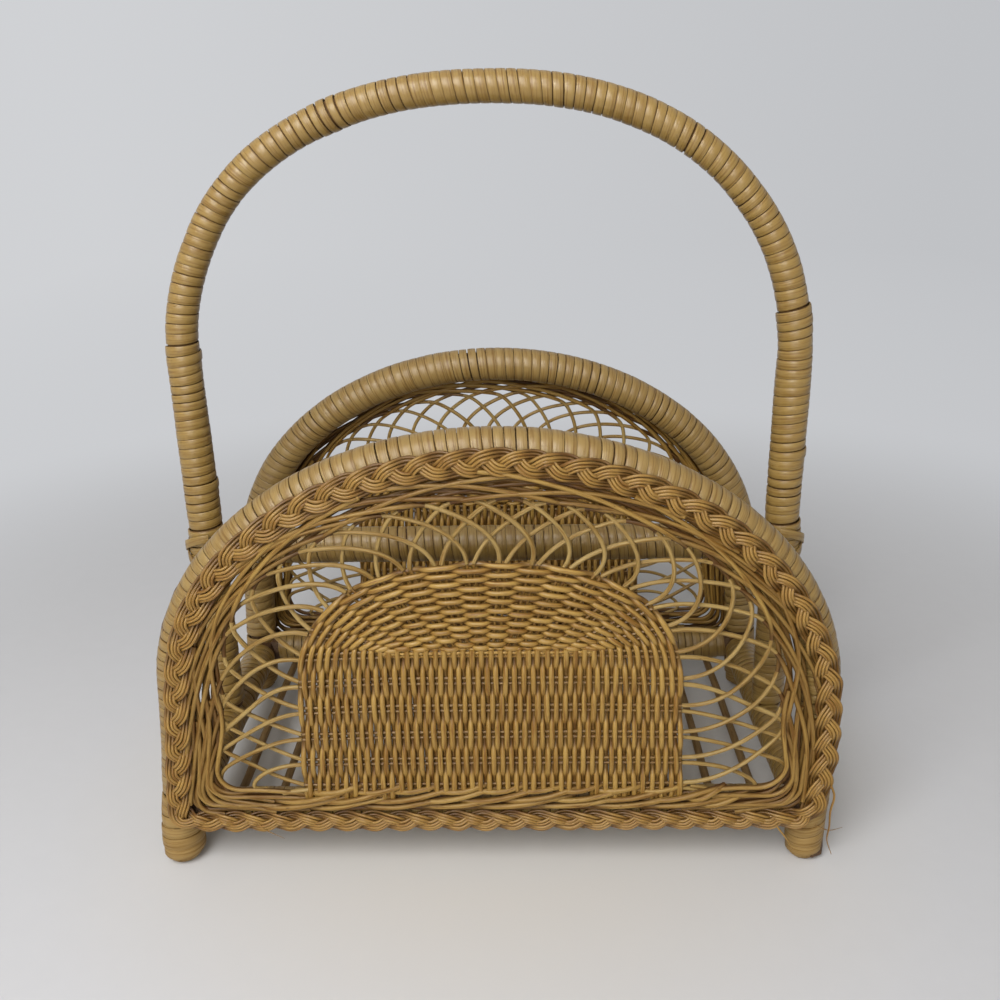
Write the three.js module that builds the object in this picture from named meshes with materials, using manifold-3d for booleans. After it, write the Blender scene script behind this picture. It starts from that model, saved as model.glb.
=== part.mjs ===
// A cane-wrapped magazine basket: two arched hoops with woven reed panels, a divider bar,
// a slatted bottom and one tall fixed handle. Sizes are millimetres, +Z is up, +X is the
// right-hand side seen from the front, the front faces -Y, and the origin is on the floor
// under the middle.
import * as THREE from "three";
import { mergeVertices } from "three/addons/utils/BufferGeometryUtils.js";
import Module from "manifold-3d";

const wasm = await Module();
wasm.setup();

// Clearances and working values
const GAP = 0.3; // between pieces that touch
const OVERRUN = 4; // how far a cutter runs past the face it cuts
const MERGE_DISTANCE = 1e-4; // vertices closer than this are one vertex

// Hoops and bottom rails
const HOOP_SPACING = 200; // from the front hoop's axis to the back hoop's
const HOOP_HALF_WIDTH = 185.5; // arch axis where the arch begins
const HOOP_RISE = 148.5; // arch axis above where the arch begins
const HOOP_SPRING_HEIGHT = 115; // height where the legs become the arch
const LEG_SPLAY = 7.5; // how far a leg leans out on its way to the floor
const POLE_RADIUS = 9; // bare pole of the hoops
const RAIL_RADIUS = 10.6; // bare pole of the rails and the divider
const RAIL_HEIGHT = 36; // axis height of the four bottom rails

// Handle and divider
const HANDLE_INSET = 2.5; // handle legs and side rails lie this far inside the hoop legs
const HANDLE_POLE_RADIUS = 9.1;
const HANDLE_SPRING_HEIGHT = 290;
const HANDLE_RISE = 153.5;
const HANDLE_POWER = 2.2; // 2 is an ellipse, more is squarer
const DIVIDER_HEIGHT = 166.5;

// Cane binding, wound as one flat-bottomed strip with a raised middle
const CANE_THICKNESS = 1; // at the raised middle
const TURN_GAP = 1; // between one turn and the next
const TURN_STEPS = 8;
const RAISED_SHARE = 0.95; // of the strip's width, where slats lie against it
const HOOP_PITCH = 39;
const ARCH_PITCH = 23;
const HANDLE_END_TURNS = 4; // on each stretch of a handle leg
const DIVIDER_TURNS = 8;
const CROSS_RAIL_TURNS = 6;
const SIDE_RAIL_TURNS = 5; // odd, so that the crossing under a handle leg is in the middle
const RAIL_END_MARGIN = 1.2; // from a side rail's binding to the foot's
const HANDLE_JOIN_LEFT_HEIGHT = 300; // where the arch binding takes over from the leg's
const HANDLE_JOIN_RIGHT_HEIGHT = 316;

// Wound feet
const FOOT_RADIUS = 13;
const FOOT_CORNER = 5; // height of the foot's rounding above the floor
const FOOT_SOLE_RADIUS = 8.5; // flat that stands on the floor
const FOOT_SOLE = 2.6; // cane under the pole's end
const FOOT_TURNS = 2;
const FOOT_MARGIN = 2; // beyond the rails' binding, upwards
const JOINT_TURNS = 1; // turns that close over the rail joints
const CANE_GROOVE = 0.6; // depth between two turns

// Lashings where the divider meets the handle legs
const LASHING_THICKNESS = 3.6;
const LASHING_MARGIN = 2; // beyond the divider's binding, up and down

// Brads
const BRAD_RADIUS = 1.2;
const BRAD_LENGTH = 42;
const BRAD_POINT = 4;
const BRAD_OFFSET = 3.5; // the two brads in one leg pass this far above and below the rails' axis

// Bottom slats
const SLAT_COUNT = 13;
const SLAT_RADIUS = 2.8;
const SLAT_MARGIN = 23; // from the side rails' axis to the last slat

// Plait over the hoop's face
const PLAIT_WIDTH = 14.5;
const PLAIT_THICKNESS = 5;
const PLAIT_INSET = 3.5; // plait's middle inside the hoop's axis
const PLAIT_BOTTOM_WIDTH = 12.5;
const PLAIT_CORNER = 15; // outer radius at the bottom corners
const PLAIT_LOBE = 26; // length of one lobe along the plait
const PLAIT_DIP = 2; // how far a strand dives under the next

// Twined border inside the plait
const BORDER_THICKNESS = 7.4;
const BORDER_CORNER = 9;
const BORDER_STEP = 52; // between twists
const BORDER_DIP = 0.9;
const LATTICE_INSET = 23.5; // lattice opening inside the hoop's axis, at the sides
const LATTICE_TOP_INSET = 25.5; // and at the top
const BORDER_BOTTOM_WIDTH = 8;
const LATTICE_CORNER = 12;

// Reeds
const REED_RADIUS = 1.8;
const REED_PAIRS = 26;
const REED_STEPS = 3;
const REACH_STEP = 0.01; // share of a reed over which its direction is taken
const REED_LEAN = 1.4; // sideways lean, in pair spacings
const PAIR_SPREAD = 4; // between the two reeds of a pair where they leave the medallion
const REED_LEAN_POWER = 1.5;
const REED_LIFT = 1; // how far a reed passes before or behind the plane
const BORDER_PAIR_SPACING = 22.8; // between pairs along the border
const SOCKET_DEPTH = 4; // groove that takes the reeds' ends
const SOCKET_MARGIN = 0.4; // before and behind the reeds in it
const REED_INSERT = 2; // how far a reed's end goes into it

// Medallion
const MEDALLION_HALF_WIDTH = 109; // where its arch begins
const MEDALLION_FLARE = 3; // extra half width at its bottom
const MEDALLION_SIDE_HEIGHT = 63.5;
const MEDALLION_RISE = 89;
const MEDALLION_POWER = 2.6;
const MEDALLION_THICKNESS = 7.8;
const BLOCK_HALF_WIDTH = 57;
const BLOCK_HEIGHT = 96.5;
const SIDE_PAIRS = 6; // reed pairs that enter from each side
const MEDALLION_ROWS = 12; // arches of relief round the block
const RIM_ROWS = 2; // rows at the rim that stay high over the groove for the reeds
const RIM_RELIEF_SHARE = 0.6;
const WEAVE_RELIEF = 1.5;

// Faces round each kind of piece
const POLE_SIDES = 8; // equal to the turn steps, so that a binding's corners meet the pole's
const ROUND_SIDES = 8; // rods, sleeves and the cutters that clear them
const THIN_SIDES = 6; // slats and brads
const HOOP_STEPS = 24; // along the arch
const HANDLE_STEPS = 28;

// A flat curve in a plane of its own, set upright at a distance from the middle
class UprightCurve extends THREE.Curve {
  constructor(flatCurve, y) {
    super();
    this.flatCurve = flatCurve;
    this.y = y;
  }

  getPoint(share, target = new THREE.Vector3()) {
    const point = this.flatCurve.getPoint(share);
    return target.set(point.x, this.y, point.y);
  }
}

// Half of a squarish ellipse that stands on its flat side, run from left to right
class SquarishArch extends THREE.Curve {
  constructor(halfWidth, rise, spring, power) {
    super();
    Object.assign(this, { halfWidth, rise, spring, power });
  }

  getPoint(share, target = new THREE.Vector2()) {
    const angle = Math.PI * (1 - share);
    const across = Math.cos(angle);
    const up = Math.abs(Math.sin(angle));
    return target.set(
      this.halfWidth * Math.sign(across) * Math.abs(across) ** (2 / this.power),
      this.spring + this.rise * up ** (2 / this.power),
    );
  }
}

// Places worked out from the sizes above
const HOOP_Y = HOOP_SPACING / 2;
const polygonGrowth = 1 / Math.cos(Math.PI / TURN_STEPS);
const handleLegX = legHalfWidth(RAIL_HEIGHT) - HANDLE_INSET;
const hoopPath = makeHoopPath();
const handlePath = makeHandlePath();
const hoopBore = bindingBore(POLE_RADIUS, archSag(hoopPath, HOOP_PITCH, HOOP_STEPS));
const bindingRadius = hoopBore + CANE_THICKNESS;
const railBore = bindingBore(RAIL_RADIUS, 0);
const railBindingRadius = railBore + CANE_THICKNESS;
const handleBore = bindingBore(
  HANDLE_POLE_RADIUS,
  archSag(handlePath, ARCH_PITCH, HANDLE_STEPS),
);
const handleBindingRadius = handleBore + CANE_THICKNESS;
const footTop = RAIL_HEIGHT + railBindingRadius + FOOT_MARGIN;
const lashingHalfHeight = railBindingRadius + LASHING_MARGIN;
const lashingRadius = HANDLE_POLE_RADIUS + GAP + LASHING_THICKNESS;
const plaitBack = HOOP_Y + bindingRadius + GAP;
const weavePlane = plaitBack + REED_RADIUS / 2;
const plaitInnerInset = PLAIT_INSET + PLAIT_WIDTH / 2;
const borderInset = plaitInnerInset + GAP;
const borderBottom = RAIL_HEIGHT + PLAIT_BOTTOM_WIDTH / 2 + GAP;
const latticeBottom = borderBottom + BORDER_BOTTOM_WIDTH;
const medallionBottom = latticeBottom + GAP;
const socketHalfWidth = REED_RADIUS + SOCKET_MARGIN;

const materials = {
  pole: makeMaterial(0xa9804b, 0.7, 0),
  cane: makeMaterial(0xc09a5e, 0.5, 0),
  reed: makeMaterial(0xb48d52, 0.65, 0),
  plait: makeMaterial(0xa78247, 0.65, 0),
  steel: makeMaterial(0x8d8f92, 0.4, 1),
};

function makeMaterial(color, roughness, metalness) {
  return new THREE.MeshStandardMaterial({ color, roughness, metalness });
}

// Half the distance between the axes of a hoop's legs at a height
function legHalfWidth(height) {
  return HOOP_HALF_WIDTH + LEG_SPLAY * (1 - height / HOOP_SPRING_HEIGHT);
}

// Inner radius of a binding whose corners line up with those of the pole inside it
function bindingBore(poleRadius, sag) {
  return poleRadius + (GAP + sag) * polygonGrowth;
}

// How far the arch of a path bows away from one straight turn, or from one straight step
function archSag(path, pitch, steps) {
  const arch = path.curves[1];
  const share = Math.max((pitch - TURN_GAP) / arch.getLength(), 1 / steps);
  const PLACES = 40;
  const sags = Array.from({ length: PLACES + 1 }, (_, i) => {
    const start = (i / PLACES) * (1 - share);
    const chord = arch.getPointAt(start).add(arch.getPointAt(start + share));
    return arch.getPointAt(start + share / 2).distanceTo(chord.divideScalar(2));
  });
  return Math.max(...sags);
}

function joinCurves(...curves) {
  const path = new THREE.CurvePath();
  curves.forEach((curve) => path.add(curve));
  return path;
}

function line(x1, z1, x2, z2) {
  return new THREE.LineCurve(new THREE.Vector2(x1, z1), new THREE.Vector2(x2, z2));
}

function makeHoopPath() {
  const start = FOOT_SOLE + GAP;
  const foot = legHalfWidth(start);
  return joinCurves(
    line(-foot, start, -HOOP_HALF_WIDTH, HOOP_SPRING_HEIGHT),
    new THREE.EllipseCurve(0, HOOP_SPRING_HEIGHT, HOOP_HALF_WIDTH, HOOP_RISE, Math.PI, 0, true),
    line(HOOP_HALF_WIDTH, HOOP_SPRING_HEIGHT, foot, start),
  );
}

function makeHandlePath() {
  return joinCurves(
    line(-handleLegX, RAIL_HEIGHT, -handleLegX, HANDLE_SPRING_HEIGHT),
    new SquarishArch(handleLegX, HANDLE_RISE, HANDLE_SPRING_HEIGHT, HANDLE_POWER),
    line(handleLegX, HANDLE_SPRING_HEIGHT, handleLegX, RAIL_HEIGHT),
  );
}

// A geometry as a solid that can be cut and joined
function toSolid(geometry) {
  const bare = geometry.clone();
  bare.deleteAttribute("normal");
  bare.deleteAttribute("uv");
  const merged = mergeVertices(bare, MERGE_DISTANCE);
  const kept = [];
  for (let i = 0; i < merged.index.count; i += 3) {
    const [a, b, c] = [0, 1, 2].map((corner) => merged.index.getX(i + corner));
    if (a !== b && b !== c && c !== a) kept.push(a, b, c);
  }
  const vertProperties = merged.attributes.position.array;
  return new wasm.Manifold(
    new wasm.Mesh({ numProp: 3, vertProperties, triVerts: new Uint32Array(kept) }),
  );
}

function toGeometry(solid) {
  const { vertProperties, triVerts } = solid.getMesh();
  return new THREE.BufferGeometry()
    .setAttribute("position", new THREE.BufferAttribute(vertProperties, 3))
    .setIndex(new THREE.BufferAttribute(triVerts, 1));
}

function cut(geometry, ...cutters) {
  const whole = toSolid(geometry);
  return toGeometry(cutters.reduce((solid, cutter) => solid.subtract(toSolid(cutter)), whole));
}

function join(geometries) {
  return toGeometry(geometries.map(toSolid).reduce((whole, piece) => whole.add(piece)));
}

// Triangles as a geometry whose faces point outwards
function closedGeometry(triangles) {
  const volume = triangles.reduce((sum, [a, b, c]) => sum + a.dot(b.clone().cross(c)), 0);
  const outward = volume < 0 ? triangles.map(([a, b, c]) => [a, c, b]) : triangles;
  const geometry = new THREE.BufferGeometry().setFromPoints(outward.flat());
  geometry.computeVertexNormals();
  return geometry;
}

// A skin through sections of equal point count, closed on itself or capped at both ends
function loft(sections, closed = false) {
  const triangles = [];
  const size = sections[0].length;
  const spans = closed ? sections.length : sections.length - 1;
  for (let i = 0; i < spans; i++) {
    const here = sections[i];
    const next = sections[(i + 1) % sections.length];
    for (let k = 0; k < size; k++) {
      const m = (k + 1) % size;
      triangles.push([here[k], here[m], next[m]], [here[k], next[m], next[k]]);
    }
  }
  if (!closed) {
    const [first, last] = [sections[0], sections[sections.length - 1]];
    for (let k = 1; k < size - 1; k++) {
      triangles.push([first[0], first[k + 1], first[k]], [last[0], last[k], last[k + 1]]);
    }
  }
  return closedGeometry(triangles);
}

// A straight round bar between two points
function rod(from, to, radius, sides = ROUND_SIDES) {
  const axis = to.clone().sub(from);
  const turn = new THREE.Quaternion().setFromUnitVectors(
    new THREE.Vector3(0, 1, 0),
    axis.clone().normalize(),
  );
  return new THREE.CylinderGeometry(radius, radius, axis.length(), sides)
    .applyQuaternion(turn)
    .translate(...from.clone().add(to).divideScalar(2).toArray());
}

// A bar that takes away everything within a clearance of a round pole
function clearanceRod(from, to, radius, sides = ROUND_SIDES) {
  return rod(from, to, (radius + GAP) / Math.cos(Math.PI / sides), sides);
}

function point(x, y, z) {
  return new THREE.Vector3(x, y, z);
}

// A point beside a route: at a distance along it, turned round it, at a radius from it
function besideRoute(route, upward, along, angle, radius) {
  const share = THREE.MathUtils.clamp(along / route.getLength(), 0, 1);
  const sideways = route.getTangentAt(share).cross(upward);
  return route
    .getPointAt(share)
    .addScaledVector(upward, radius * Math.cos(angle))
    .addScaledVector(sideways, radius * Math.sin(angle));
}

// A bent pole: two straight legs and an arch in steps
function archedPole(path, y, radius, steps) {
  const route = new UprightCurve(path, y);
  const [leg, arch] = path.curves.map((curve) => curve.getLength());
  const bends = Array.from({ length: steps + 1 }, (_, i) => leg + (arch * i) / steps);
  const sections = [0, ...bends, path.getLength()].map((along) =>
    Array.from({ length: POLE_SIDES }, (_, k) =>
      besideRoute(route, point(0, 1, 0), along, (2 * Math.PI * k) / POLE_SIDES, radius),
    ),
  );
  return loft(sections);
}

// One unbroken strip of cane wound round a route, with its middle raised; where the route
// crosses another pole, the strip passes under the crossing within half a turn
function winding({ route, upward, from, to, turns, bore, crossing = 0, raised = [0] }) {
  const pitch = (to - from - crossing) / (turns + 1);
  const half = (pitch - TURN_GAP) / 2;
  const crossingTurn = (turns - 1) / 2;
  const sections = [];
  for (let step = 0; step <= turns * TURN_STEPS; step++) {
    const turn = step / TURN_STEPS;
    const angle = 2 * Math.PI * turn;
    const passed = THREE.MathUtils.clamp((turn - crossingTurn) * 2 - 1 / 2, 0, 1);
    const along = from + pitch / 2 + pitch * turn + crossing * passed;
    const trailing = besideRoute(route, upward, along - half, angle, bore);
    const leading = besideRoute(route, upward, along + half, angle, bore);
    const outward = besideRoute(route, upward, along, angle, CANE_THICKNESS);
    outward.sub(besideRoute(route, upward, along, angle, 0));
    const middle = trailing.clone().lerp(leading, 1 / 2).add(outward);
    const reach = leading.clone().sub(trailing).divideScalar(2);
    const crown = raised.map((share) => middle.clone().addScaledVector(reach, share));
    sections.push([trailing, leading, ...crown]);
  }
  printLeastGap(sections);
  return loft(sections);
}

// Prints the least distance between the facing edges of neighbouring turns
function printLeastGap(sections) {
  const FINER = 4;
  const edge = (side) =>
    sections.slice(1).flatMap((section, i) =>
      Array.from({ length: FINER }, (_, k) =>
        sections[i][side].clone().lerp(section[side], k / FINER),
      ),
    );
  const [trailing, leading] = [edge(0), edge(1)];
  const turn = TURN_STEPS * FINER;
  let least = Infinity;
  leading.forEach((a, i) => {
    for (let j = i + turn / 2; j < Math.min(trailing.length, i + 2 * turn); j++) {
      least = Math.min(least, a.distanceTo(trailing[j]));
    }
  });
  console.log(`winding of ${(sections.length - 1) / TURN_STEPS} turns: least gap ${least.toFixed(2)} mm`);
}

// Distance along the hoop's path at which its leg reaches a height
function hoopDistance(height) {
  const leg = hoopPath.curves[0];
  const start = FOOT_SOLE + GAP;
  return (leg.getLength() * (height - start)) / (HOOP_SPRING_HEIGHT - start);
}

function legAxisPoint(sideX, sideY, height) {
  return point(sideX * legHalfWidth(height), sideY * HOOP_Y, height);
}

function legCutter(sideX, sideY, radius) {
  return clearanceRod(
    legAxisPoint(sideX, sideY, -OVERRUN),
    legAxisPoint(sideX, sideY, HOOP_SPRING_HEIGHT),
    radius,
  );
}

// Where each brad's head lies and which way it points, by the joint it holds
const bradPlaces = {
  frontRail: (sideX, sideY) => ({
    head: point(
      sideX * (legHalfWidth(RAIL_HEIGHT + BRAD_OFFSET) + POLE_RADIUS),
      sideY * HOOP_Y,
      RAIL_HEIGHT + BRAD_OFFSET,
    ),
    inward: point(-sideX, 0, 0),
  }),
  sideRail: (sideX, sideY) => ({
    head: point(sideX * handleLegX, sideY * (HOOP_Y + POLE_RADIUS), RAIL_HEIGHT - BRAD_OFFSET),
    inward: point(0, -sideY, 0),
  }),
  handleLeg: (sideX) => ({
    head: point(sideX * handleLegX, 0, RAIL_HEIGHT - RAIL_RADIUS),
    inward: point(0, 0, 1),
  }),
  divider: (sideX) => ({
    head: point(sideX * (handleLegX + HANDLE_POLE_RADIUS), 0, DIVIDER_HEIGHT),
    inward: point(-sideX, 0, 0),
  }),
};

// A brad sunk by the clearance, pointed at its far end
function brad({ head, inward }) {
  const turn = new THREE.Quaternion().setFromUnitVectors(point(0, 1, 0), inward);
  const profile = [
    new THREE.Vector2(0, GAP + BRAD_RADIUS),
    new THREE.Vector2(BRAD_RADIUS, GAP + BRAD_RADIUS),
    new THREE.Vector2(BRAD_RADIUS, BRAD_LENGTH - BRAD_POINT),
    new THREE.Vector2(0, BRAD_LENGTH),
  ];
  return new THREE.LatheGeometry(profile, THIN_SIDES)
    .applyQuaternion(turn)
    .translate(...head.toArray());
}

function bradHole({ head, inward }) {
  return clearanceRod(
    head.clone().addScaledVector(inward, -OVERRUN),
    head.clone().addScaledVector(inward, BRAD_LENGTH + GAP),
    BRAD_RADIUS,
    THIN_SIDES,
  );
}

function hoop(sideY) {
  const holes = [-1, 1].flatMap((sideX) => [
    bradHole(bradPlaces.frontRail(sideX, sideY)),
    bradHole(bradPlaces.sideRail(sideX, sideY)),
  ]);
  return cut(archedPole(hoopPath, sideY * HOOP_Y, POLE_RADIUS, HOOP_STEPS), ...holes);
}

function hoopBinding(sideY) {
  const from = hoopDistance(footTop + GAP);
  const to = hoopPath.getLength() - from;
  const turns = Math.round((to - from) / HOOP_PITCH) - 1;
  const route = new UprightCurve(hoopPath, sideY * HOOP_Y);
  return winding({ route, upward: point(0, 1, 0), from, to, turns, bore: hoopBore });
}

// Front or back rail, hollowed at its ends to sit against the hoop's legs
function crossRail(sideY) {
  const end = legHalfWidth(RAIL_HEIGHT);
  const bar = rod(
    point(-end, sideY * HOOP_Y, RAIL_HEIGHT),
    point(end, sideY * HOOP_Y, RAIL_HEIGHT),
    RAIL_RADIUS,
  );
  const cutters = [-1, 1].flatMap((sideX) => [
    legCutter(sideX, sideY, POLE_RADIUS),
    bradHole(bradPlaces.frontRail(sideX, sideY)),
    bradHole(bradPlaces.sideRail(sideX, sideY)),
  ]);
  return cut(bar, ...cutters);
}

function crossRailBinding(sideY) {
  const end = legHalfWidth(RAIL_HEIGHT + railBindingRadius) - bindingRadius - GAP;
  const route = new THREE.LineCurve3(
    point(-end, sideY * HOOP_Y, RAIL_HEIGHT),
    point(end, sideY * HOOP_Y, RAIL_HEIGHT),
  );
  return winding({
    route,
    upward: point(0, 0, -1),
    from: 0,
    to: 2 * end,
    turns: CROSS_RAIL_TURNS,
    bore: railBore,
    raised: [RAISED_SHARE, -RAISED_SHARE],
  });
}

// Left or right rail, hollowed at its ends round the hoop's leg and the rail that it meets there
function sideRail(sideX) {
  const x = sideX * handleLegX;
  const bar = rod(point(x, -HOOP_Y, RAIL_HEIGHT), point(x, HOOP_Y, RAIL_HEIGHT), RAIL_RADIUS);
  const cutters = [-1, 1].flatMap((sideY) => [
    legCutter(sideX, sideY, POLE_RADIUS),
    clearanceRod(
      point(0, sideY * HOOP_Y, RAIL_HEIGHT),
      legAxisPoint(sideX, sideY, RAIL_HEIGHT),
      RAIL_RADIUS,
    ),
    bradHole(bradPlaces.sideRail(sideX, sideY)),
  ]);
  return cut(bar, ...cutters, bradHole(bradPlaces.handleLeg(sideX)));
}

function sideRailBinding(sideX) {
  const x = sideX * handleLegX;
  const end = HOOP_Y - bindingRadius - RAIL_END_MARGIN;
  return winding({
    route: new THREE.LineCurve3(point(x, -end, RAIL_HEIGHT), point(x, end, RAIL_HEIGHT)),
    upward: point(0, 0, 1),
    from: 0,
    to: 2 * end,
    turns: SIDE_RAIL_TURNS,
    bore: railBore,
    crossing: 2 * (handleBindingRadius + GAP),
  });
}

function handle() {
  const cutters = [-1, 1].flatMap((sideX) => [
    clearanceRod(
      point(sideX * handleLegX, -HOOP_Y, RAIL_HEIGHT),
      point(sideX * handleLegX, HOOP_Y, RAIL_HEIGHT),
      RAIL_RADIUS,
    ),
    bradHole(bradPlaces.handleLeg(sideX)),
    bradHole(bradPlaces.divider(sideX)),
  ]);
  return cut(archedPole(handlePath, 0, HANDLE_POLE_RADIUS, HANDLE_STEPS), ...cutters);
}

// The handle's binding comes in five lengths: below and above each divider lashing, and the arch
function handleBindings() {
  const total = handlePath.getLength();
  const lower = [RAIL_HEIGHT + RAIL_RADIUS + GAP, DIVIDER_HEIGHT - lashingHalfHeight - GAP];
  const upperStart = DIVIDER_HEIGHT + lashingHalfHeight + GAP;
  const fromLeft = (height) => height - RAIL_HEIGHT;
  const fromRight = (height) => total - (height - RAIL_HEIGHT);
  const archStart = handleDistance(HANDLE_JOIN_LEFT_HEIGHT);
  const archEnd = total - handleDistance(HANDLE_JOIN_RIGHT_HEIGHT);
  const ends = HANDLE_END_TURNS;
  const archTurns = Math.round((archEnd - archStart) / ARCH_PITCH) - 1;
  return [
    ["handle_left_lower_binding", fromLeft(lower[0]), fromLeft(lower[1]), ends],
    ["handle_left_upper_binding", fromLeft(upperStart), archStart - GAP, ends],
    ["handle_arch_binding", archStart, archEnd, archTurns],
    ["handle_right_upper_binding", archEnd + GAP, fromRight(upperStart), ends],
    ["handle_right_lower_binding", fromRight(lower[1]), fromRight(lower[0]), ends],
  ].map(([name, from, to, turns]) => ({
    name,
    geometry: winding({
      route: new UprightCurve(handlePath, 0),
      upward: point(0, 1, 0),
      from,
      to,
      turns,
      bore: handleBore,
    }),
  }));
}

// Distance along the handle's path at which it first reaches a height
function handleDistance(height) {
  const total = handlePath.getLength();
  const STEPS = 400;
  for (let i = 0; i <= STEPS; i++) {
    if (handlePath.getPointAt(i / STEPS).y >= height) return (total * i) / STEPS;
  }
  return total / 2;
}

function divider() {
  const bar = rod(
    point(-handleLegX, 0, DIVIDER_HEIGHT),
    point(handleLegX, 0, DIVIDER_HEIGHT),
    RAIL_RADIUS,
  );
  const cutters = [-1, 1].flatMap((sideX) => [
    clearanceRod(
      point(sideX * handleLegX, 0, RAIL_HEIGHT),
      point(sideX * handleLegX, 0, HANDLE_SPRING_HEIGHT),
      HANDLE_POLE_RADIUS,
    ),
    bradHole(bradPlaces.divider(sideX)),
  ]);
  return cut(bar, ...cutters);
}

function dividerBinding() {
  const end = handleLegX - lashingRadius - GAP;
  const route = new THREE.LineCurve3(point(-end, 0, DIVIDER_HEIGHT), point(end, 0, DIVIDER_HEIGHT));
  const upward = point(0, 0, 1);
  return winding({ route, upward, from: 0, to: 2 * end, turns: DIVIDER_TURNS, bore: railBore });
}

// A bulging sleeve of cane round the handle leg, open where the divider comes in
function dividerLashing(sideX) {
  const bore = (HANDLE_POLE_RADIUS + GAP) / Math.cos(Math.PI / ROUND_SIDES);
  const edge = (bore + lashingRadius) / 2;
  const bulge = [bore, edge, lashingRadius, lashingRadius, edge, bore];
  const heightShares = [-1, -1, -0.6, 0.6, 1, 1];
  const profile = bulge.map((r, i) => new THREE.Vector2(r, heightShares[i] * lashingHalfHeight));
  const sleeve = new THREE.LatheGeometry([...profile, profile[0].clone()], ROUND_SIDES)
    .rotateX(Math.PI / 2)
    .translate(sideX * handleLegX, 0, DIVIDER_HEIGHT);
  const opening = clearanceRod(
    point(0, 0, DIVIDER_HEIGHT),
    point(sideX * handleLegX, 0, DIVIDER_HEIGHT),
    RAIL_RADIUS,
  );
  return cut(sleeve, opening);
}

// Profile of a wound foot, from the floor up its outside and down its bore, along the leg
function footProfile(bore) {
  const bulgeTop = RAIL_HEIGHT - railBindingRadius;
  const outside = [
    [0, -OVERRUN],
    [FOOT_SOLE_RADIUS, -OVERRUN],
    [FOOT_SOLE_RADIUS, 0],
    [FOOT_RADIUS, FOOT_CORNER],
    ...turnsBetween(FOOT_CORNER, bulgeTop, FOOT_TURNS, FOOT_RADIUS),
    ...turnsBetween(bulgeTop, footTop, JOINT_TURNS, bindingRadius),
  ];
  const inside = [
    [bore, footTop],
    [bore, FOOT_SOLE],
    [0, FOOT_SOLE],
  ];
  return [...outside, ...inside].map(([radius, height]) => new THREE.Vector2(radius, height));
}

// Crests of turns with a groove after each
function turnsBetween(bottom, top, turns, radius) {
  const height = (top - bottom) / turns;
  return Array.from({ length: turns }, (_, i) => [
    [radius, bottom + height * (i + 1 / 2)],
    [radius - CANE_GROOVE, bottom + height * (i + 1)],
  ]).flat();
}

function foot(sideX, sideY) {
  const bore = (POLE_RADIUS + GAP) / Math.cos(Math.PI / ROUND_SIDES);
  const floorPoint = legAxisPoint(sideX, sideY, 0);
  const upLeg = legAxisPoint(sideX, sideY, HOOP_SPRING_HEIGHT).sub(floorPoint).normalize();
  const cup = new THREE.LatheGeometry(footProfile(bore), ROUND_SIDES)
    .applyQuaternion(new THREE.Quaternion().setFromUnitVectors(point(0, 1, 0), upLeg))
    .translate(...floorPoint.toArray());
  const size = FOOT_RADIUS * 4;
  const floor = new THREE.BoxGeometry(size, size, size).translate(
    floorPoint.x,
    floorPoint.y,
    -size / 2,
  );
  const towardMiddle = legAxisPoint(0, sideY, RAIL_HEIGHT);
  const joint = point(sideX * handleLegX, sideY * HOOP_Y, RAIL_HEIGHT);
  return cut(
    cup,
    floor,
    clearanceRod(legAxisPoint(sideX, sideY, RAIL_HEIGHT), towardMiddle, RAIL_RADIUS),
    clearanceRod(joint, point(joint.x, 0, RAIL_HEIGHT), RAIL_RADIUS),
  );
}

function slats() {
  const first = handleLegX - SLAT_MARGIN;
  const height = RAIL_HEIGHT - railBindingRadius - GAP - SLAT_RADIUS;
  return Array.from({ length: SLAT_COUNT }, (_, i) => {
    const x = -first + (2 * first * i) / (SLAT_COUNT - 1);
    return rod(point(x, -HOOP_Y, height), point(x, HOOP_Y, height), SLAT_RADIUS, THIN_SIDES);
  });
}

// The closed round of a panel ring: flat bottom, corners, leaning legs and an elliptic arch
function ringCurves({ inset, topInset = inset, bottom, corner }) {
  const foot = legHalfWidth(bottom) - inset;
  const halfWidth = HOOP_HALF_WIDTH - inset;
  const rise = HOOP_RISE - topInset;
  const quarter = Math.PI / 2;
  const cornerCurve = (x, start) =>
    new THREE.EllipseCurve(x, bottom + corner, corner, corner, start, start + quarter);
  return [
    line(corner - foot, bottom, foot - corner, bottom),
    cornerCurve(foot - corner, -quarter),
    line(foot, bottom + corner, halfWidth, HOOP_SPRING_HEIGHT),
    new THREE.EllipseCurve(0, HOOP_SPRING_HEIGHT, halfWidth, rise, 0, Math.PI),
    line(-halfWidth, HOOP_SPRING_HEIGHT, -foot, bottom + corner),
    cornerCurve(corner - foot, Math.PI),
  ];
}

const plaitOuter = ringCurves({
  inset: PLAIT_INSET - PLAIT_WIDTH / 2,
  bottom: RAIL_HEIGHT - PLAIT_BOTTOM_WIDTH / 2,
  corner: PLAIT_CORNER,
});
const plaitInner = ringCurves({
  inset: plaitInnerInset,
  bottom: RAIL_HEIGHT + PLAIT_BOTTOM_WIDTH / 2,
  corner: PLAIT_CORNER / 3,
});
const borderOuter = ringCurves({
  inset: borderInset,
  bottom: borderBottom,
  corner: BORDER_CORNER,
});
const latticeOutline = ringCurves({
  inset: LATTICE_INSET,
  topInset: LATTICE_TOP_INSET,
  bottom: latticeBottom,
  corner: LATTICE_CORNER,
});

// Matched points round two rings, an even number on each stretch
function matchedStations(outer, inner, spacing) {
  return outer.flatMap((curve, i) => {
    const count = 2 * Math.max(1, Math.round(curve.getLength() / (2 * spacing)));
    const outerPoints = curve.getSpacedPoints(count);
    const innerPoints = inner[i].getSpacedPoints(count);
    return outerPoints.slice(0, -1).map((from, k) => ({ from, to: innerPoints[k] }));
  });
}

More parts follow.
